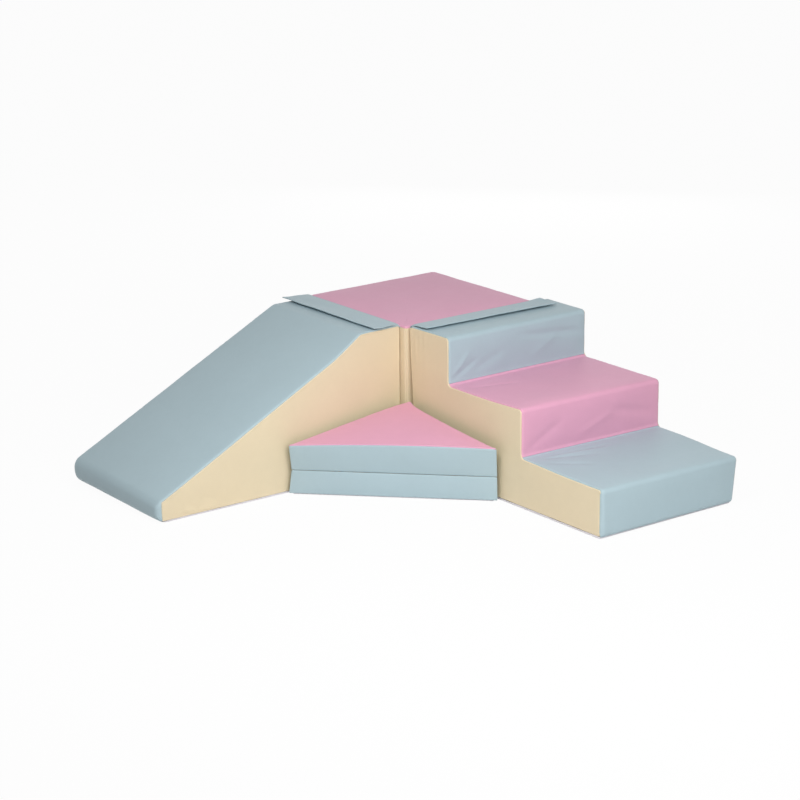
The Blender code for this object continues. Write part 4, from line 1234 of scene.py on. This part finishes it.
def flap(name, body, node, root, along, out, length, reach, widen, settle, shape):
    """Two layers of cloth. At its free edges each is a quarter of an ellipse, and the sewing presses the top
    in."""
    v, u = across(0.0, reach, 0.004), across(-1.0, 1.0, 0.010, 0.003)
    middle = flap_middle(v, u, root, along, out, length, widen, settle, shape)
    quads = outward_quads(middle, grid_quads(len(v), len(u)), np.broadcast_to(upward, middle.shape))
    normals = vertex_normals(middle.reshape(-1, 3), quads).reshape(middle.shape)
    to_edge = np.minimum((length / 2 - np.abs(u * length / 2))[None, :], (reach - v)[:, None])
    thick = HALF_FLAP * np.sqrt(np.clip(1 - (1 - np.minimum(to_edge, FLAP_EDGE) / FLAP_EDGE) ** 2, 0, 1))
    thick[0] = HALF_FLAP
    top_height = thick - 0.0005 * np.exp(-((to_edge - HEM) / 0.0012) ** 2)
    top, bottom = middle + normals * top_height[..., None], middle - normals * thick[..., None]
    points = np.concatenate([top.reshape(-1, 3), bottom.reshape(-1, 3)])
    piece = make_object(name, *weld(points, slab_quads(quads, thick.size)), finish_of(node))
    thread = dress(hem_stitches(name + "_stitches", top, v, u, length, reach), body, slot_of(node))
    slot_of(node)
    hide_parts(node)
    begin, end = (np.asarray(root) + np.asarray(out) * place for place in (0.0025, 0.011))
    tuple(begin)
    tuple(end)
    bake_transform(piece)


def slide_flap_shape(u, v):
    """The near end is cut at a slant, and its root dips into the gap beside the block."""
    near = (u + 1) * 0.246
    dip = -0.0060 * np.exp(-near / 0.008) * (1 - ramp(v, 0.010, 0.035))
    slow = 0.0005 * waves(u * 0.25, v, 0.12, 5) * ramp(v, 0.02, 0.06)
    slant = 0.0140 * np.exp(-near / 0.04) * (1 - ramp(v, 0.0, 0.09))
    return 0.0 * u, dip + slow, slant


def steps_flap_shape(u, v):
    """The near end of the root dips. The far end reaches past the block, so it is free there, and stands up
    and out."""
    near, far = (u + 1) * 0.2525, (1 - u) * 0.2525
    free = np.exp(-(far / 0.028) ** 2)
    dip = -0.0040 * np.exp(-near / 0.006) * (1 - ramp(v, 0.010, 0.035))
    stand = 0.0075 * free * (1 - ramp(v, 0.01, 0.08))
    slow = 0.0005 * waves(u * 0.25, v, 0.12, 6) * ramp(v, 0.02, 0.06)
    outwards = 0.0130 * free * (1 - ramp(v, 0.0, 0.07)) + 0.004 * np.exp(-far / 0.03) * ramp(v, 0.0, 0.08)
    return outwards, dip + stand + slow, 0.0 * u


flap("slide_flap_cloth", "slide_top_flap", "slide_flap",
     root=(-0.2525, 0.006, ROOT_HEIGHT), along=(0, 1, 0), out=(-1, 0, 0), length=0.492, reach=0.115,
     widen=0.0, settle=0.058, shape=slide_flap_shape)
flap("steps_flap_cloth", "steps_top_flap", "steps_flap",
     root=(0.0155, -0.2525, ROOT_HEIGHT), along=(1, 0, 0), out=(0, -1, 0), length=0.505, reach=0.0975,
     widen=0.09, settle=0.045, shape=steps_flap_shape)
print("two flaps, hemmed with a line of stitches")

# %% [markdown]
# ## Hook and loop tapes
#
# What holds each flap down is hidden under it: a strip of hooks sewn to its underside, and a strip of loops
# on the module below. A tape is a flat band with soft edges and a line of sewing pressed in along them. Its
# fuzz is left to the material.

# %% Hook and loop tapes
def touch_tape(node, body, facing):
    """Fills the CAD tape's box. The face sinks by 0.4 mm exp(-e / 0.8 mm) at distance e from its edge, and by
    0.3 mm along the line of sewing 2.5 mm in."""
    low, high = (np.array(corner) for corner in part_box(node))
    x, y = (across(low[k], high[k], 0.010, 0.0006) for k in (0, 1))
    X, Y = np.meshgrid(x, y, indexing="ij")
    edge = np.minimum(np.minimum(X - low[0], high[0] - X), np.minimum(Y - low[1], high[1] - Y))
    sunk = 0.0004 * np.exp(-edge / 0.0008) + 0.0003 * np.exp(-((edge - 0.0025) / 0.0006) ** 2)
    Z = high[2] - sunk if facing > 0 else low[2] + sunk
    piece = thicken(node + "_strip", np.stack([X, Y, Z], -1), grid_quads(*X.shape), high[2] - low[2] - 0.0004,
                    finish_of(node), (0, 0, facing))
    dress(piece, body, slot_of(node), node)


for name in ("slide", "steps"):
    touch_tape(name + "_flap_hook_tape", name + "_top_flap", -1)
    touch_tape(name + "_flap_loop_tape", name, 1)
print("two pairs of tapes")

# %% [markdown]
# ## Zips
#
# Each module's foam can be taken out through a zip low on a side that a child doesn't see. A zip is a woven
# tape with two rows of moulded teeth that interlock, and a metal slider with a pull ring. Everything is
# worked out in the zip's own terms: how far along it, how far across, and how high above the cover. A rule
# for each module then puts that on the cover, and the zip follows every lean of it.

# %% Zips
ZIP_TAPE, TOOTH_PITCH = 0.016, 0.0025
TOOTH_FOOT, TOOTH_TOP = (0.0007, -0.0008, 0.0024, 0.0007), (0.0005, -0.0005, 0.0020, 0.0021)
TOOTH = np.array([(a * half, b, h) for half, low, high, h in (TOOTH_FOOT, TOOTH_TOP)
                  for a, b in ((-1, low), (1, low), (1, high), (-1, high))])
TOOTH_QUADS = np.array([(3, 2, 1, 0), (4, 5, 6, 7), (0, 1, 5, 4), (1, 2, 6, 5), (2, 3, 7, 6), (3, 0, 4, 7)])


def gather(shells):
    """Joins closed grids into one mesh. Each comes with the points that its own points surround."""
    points, quads, count = [], [], 0
    for grid, inside, faces in shells:
        welded, faces = weld(grid.reshape(-1, 3), outward_quads(grid, faces, grid - inside))
        points.append(welded)
        quads.append(faces + count)
        count += len(welded)
    return np.concatenate(points), np.concatenate(quads)


def tube(path, radius, over):
    """Circles round a path, in the plane of over x way and over."""
    way = np.gradient(path, axis=0)
    if np.allclose(path[0], path[-1]):
        way[0] = way[-1] = path[1] - path[-2]
    way = unit(way)
    beside = unit(np.cross(over, way))
    turn = np.linspace(0.0, math.tau, 9)[None, :, None]
    ring = np.cos(turn) * beside[:, None, :] + np.sin(turn) * np.cross(way, beside)[:, None, :]
    return path[:, None, :] + np.broadcast_to(radius, (len(path),))[:, None, None] * ring


def power(value, exponent):
    """A power that keeps the sign."""
    return np.sign(value) * np.abs(value) ** exponent


def slider_shells():
    """Along, across and height of the slider's three shells, and of their middles. The body is a
    superellipsoid, with signed powers of cosines and sines, the bridge is an arch, and the ring lies along
    the zip."""
    rise, turn = np.linspace(-math.pi / 2, math.pi / 2, 15)[:, None], np.linspace(0, math.tau, 29)[None, :]
    a = 0.0058 * power(np.cos(rise), 0.5) * power(np.cos(turn), 0.6)
    b = 0.0046 * power(np.cos(rise), 0.5) * power(np.sin(turn), 0.6) * (1 + 22 * a)
    body = np.stack([a, b, 0.0025 + 0.0015 * power(np.sin(rise), 0.6) + 0 * a], -1)
    yield body, np.broadcast_to((0.0, 0.0, 0.0025), body.shape)
    t = np.linspace(0.0, 1.0, 15)
    arch = np.stack([0.0068 * t - 0.0038, 0 * t, 0.0036 + 0.0017 * np.sin(math.pi * t)], -1)
    yield tube(arch, 0.0006 * np.sqrt(1 - (2 * t - 1) ** 8), (0, 1.0, 0)), arch[:, None, :]
    t = np.linspace(0.0, math.tau, 41)
    along = 0.0078 + 0.0080 * power(np.cos(t), 0.7)
    ring = np.stack([along, 0.0026 * power(np.sin(t), 0.8), 0.0044 - 0.09 * along], -1)
    yield tube(ring, 0.00055, (0, 0, 1.0)), ring[:, None, :]


def zip_cloth(name, body, place, low, high, middle):
    """The tape rises by 0.4 mm under the teeth, is pressed in by 0.3 mm along its sewing, and sinks at its
    edges."""
    half = ZIP_TAPE / 2
    U, V = np.meshgrid(across(low, high, 0.010, 0.002), np.linspace(-half, half, 33), indexing="ij")
    off = np.abs(V)
    rise = (0.0005 + 0.0004 * (1 - ramp(off, 0.0024, 0.0034))
            - 0.0003 * np.exp(-((off - 0.0056) / 0.0005) ** 2) - 0.0004 * ramp(off, half - 0.0010, half))
    centre = np.array([(low + high) / 2]), np.array([middle])
    outward = (place(*centre, np.array([0.001])) - place(*centre, np.array([0.0])))[0]
    points = place(U, middle + V, rise)
    tape = thicken(name + "_zip_cloth", points, grid_quads(*U.shape), 0.0010, ZIP_CLOTH, outward)
    dress(tape, body, "zip_tape", name + "_zip_tape")


def zip_teeth(name, body, place, low, high, middle):
    """Two rows of teeth, half a pitch apart, that reach past the middle into each other."""
    first = np.arange(low + 0.004, high - 0.004, TOOTH_PITCH)
    rows = []
    for side in (-1, 1):
        along = first[:, None] + (side + 1) * TOOTH_PITCH / 4 + TOOTH[None, :, 0]
        teeth = place(along, middle + side * TOOTH[None, :, 1] + 0 * along, TOOTH[None, :, 2] + 0 * along)
        faces = (TOOTH_QUADS[None] + 8 * np.arange(len(first))[:, None, None]).reshape(-1, 4)
        rows.append((teeth, teeth.mean(axis=1, keepdims=True), faces))
    dress(make_object(name + "_zip_teeth", *gather(rows), ZIP_TEETH), body, "zip_tape", name + "_zip_tape")


def zipper(name, body, place, low, high, middle, park, way):
    """A zip from low to high along its line, which lies at middle across. place(along, across, height) puts a
    point on the cover. The slider is parked near one end, and its ring lies the way it runs."""
    zip_cloth(name, body, place, low, high, middle)
    zip_teeth(name, body, place, low, high, middle)
    shells = []
    for pair in slider_shells():
        grid, inside = (place(park + way * part[..., 0], middle + part[..., 1], part[..., 2])
                        for part in pair)
        shells.append((grid, inside, grid_quads(*grid.shape[:2])))
    slider = make_object(name + "_zip_pull", *gather(shells), METAL)
    dress(slider, name + "_slider", "zip_slider", name + "_zip_slider")


def on_steps_band(pad):
    """The band runs at 45 degrees from the right-hand tip to the apex."""
    start = MAT_DEPTH - FOLD_SETBACK
    return lambda u, v, h: pad.world(np.stack([start - HALF * (u - h), FOLD_SETBACK + HALF * (u + h)], -1), v)


ZIP_LINE, MAT_ZIP_LINE = 0.0166, 0.0136
zipper("block", "corner_block", lambda u, v, h: block.world(np.stack([u, HALF_BLOCK + h], -1), v),
       -0.2047, 0.2047, ZIP_LINE, -0.191, 1)
zipper("slide", "slide", lambda u, v, h: slide.world(np.stack([u, v], -1), slide.low - h),
       *SLIDE_ZIP, ZIP_LINE, 0.751, -1)
zipper("steps", "steps", lambda u, v, h: steps.world(np.stack([u, v], -1), steps.high + h),
       *STEPS_ZIP, ZIP_LINE, 0.064, 1)
for pad, park in ((lower_pad, 0.375), (upper_pad, 0.372)):
    zipper("mat_" + pad.name, pad.body, on_steps_band(pad), *MAT_ZIP, MAT_ZIP_LINE, park, -1)
print("five zips")

# %% [markdown]
# ## Floor and sky
#
# The background is white, and no shadow can be made out in it. The floor is a pale plain, and what the camera
# sees of it is brightened by a glow that reaches the camera alone, so a faint shadow stays where the object
# stands. The sky is white to the camera too, and lights the object only weakly.

# %% Floor and sky
FLOOR_GLOW, SKY = 0.96, 0.35


def in_view(wire):
    """1 for what the camera sees, straight or in a mirror or through glass, and 0 for light on its way to
    things."""
    ways = "Is Camera Ray", "Is Glossy Ray", "Is Transmission Ray"
    path = wire.node("LightPath").socket.node
    return sum(Wire(wire.tree, path.outputs[way]) for way in ways)


def backdrop_material(name, colour, glow):
    """Where the camera or a mirror sees it, the floor is a mix of its own shade and of plain white."""
    material, wire, shader = new_material(name)
    place = wire.node("TexCoord", output=3)
    speckle = wire.node("TexNoise", {"Vector": place, "Scale": 300.0, "Detail": 2.0})
    connect(wire, shader, Base_Color=shade(colour), Roughness=0.9 + 0.05 * speckle, Specular_IOR_Level=0.0)
    white = wire.node("Emission", {"Color": shade((1, 1, 1)), "Strength": 1.0})
    mixed = wire.node("MixShader", {0: in_view(wire) * glow, 1: Wire(wire.tree, shader.outputs[0]), 2: white})
    wire.tree.links.new(mixed.socket, wire.tree.nodes["Material Output"].inputs["Surface"])
    return material


floor_mesh = bpy.data.meshes.new("floor")
floor_mesh.from_pydata([(-30, -30, 0), (30, -30, 0), (30, 30, 0), (-30, 30, 0)], [], [(0, 1, 2, 3)])
floor_mesh.materials.append(backdrop_material("floor", (0.80, 0.80, 0.80), FLOOR_GLOW))
floor = bpy.data.objects.new("floor", floor_mesh)
scene.collection.objects.link(floor)

world = bpy.data.worlds.new("world")
scene.world = world
world.use_nodes = True
sky = Wire(world.node_tree)
connect(sky, world.node_tree.nodes["Background"],
        Color=shade((1, 1, 1)), Strength=in_view(sky) * (1 - SKY) + SKY)
print("the sky's strength is %.2f, and 1 where the camera sees it" % SKY)

# %% [markdown]
# ## Lights
#
# A large soft box in front lights the risers, and a small near one lets the light fall off towards the far
# end of the steps. A low one behind fills the back. It makes no gloss, because from the front it would be
# mirrored in the tops, which are dull in the photograph.

# %% Lights
def softbox(name, place, aim, width, height, watts):
    """A rectangular area light that faces a point."""
    light = bpy.data.lights.new(name, "AREA")
    light.shape, light.size, light.size_y, light.energy = "RECTANGLE", width, height, watts
    lamp = bpy.data.objects.new(name, light)
    scene.collection.objects.link(lamp)
    place, aim = Vector(place), Vector(aim)
    turned = (aim - place).to_track_quat("-Z", "Y").to_matrix().to_4x4()
    lamp.matrix_world = Matrix.Translation(place) @ turned
    return lamp


softbox("front_box", (-0.9, -2.6, 1.6), (-0.1, -0.3, 0.2), 2.0, 1.6, 35.5)
softbox("near_box", (-1.5, -1.2, 1.7), (-0.2, -0.3, 0.1), 0.8, 0.8, 13.8)
back_box = softbox("back_box", (2.6, 2.6, 0.9), (0.1, 0.1, 0.2), 2.0, 1.2, 22.0)
back_box.visible_glossy = False
print("three soft boxes")

# %% [markdown]
# ## The CAD nodes that are still shown
#
# Any CAD node that no piece stands for is still shown, and takes the finish that the record gives it.
# The finished object has to stay within the CAD model's box, apart from what soft cloth may stand proud.

# %% CAD nodes still shown
for node, piece in frame["nodes"].items():
    if not piece.hide_render:
        piece.data.materials.clear()
        piece.data.materials.append(finish_of(node))
        print("shown CAD node:", node)
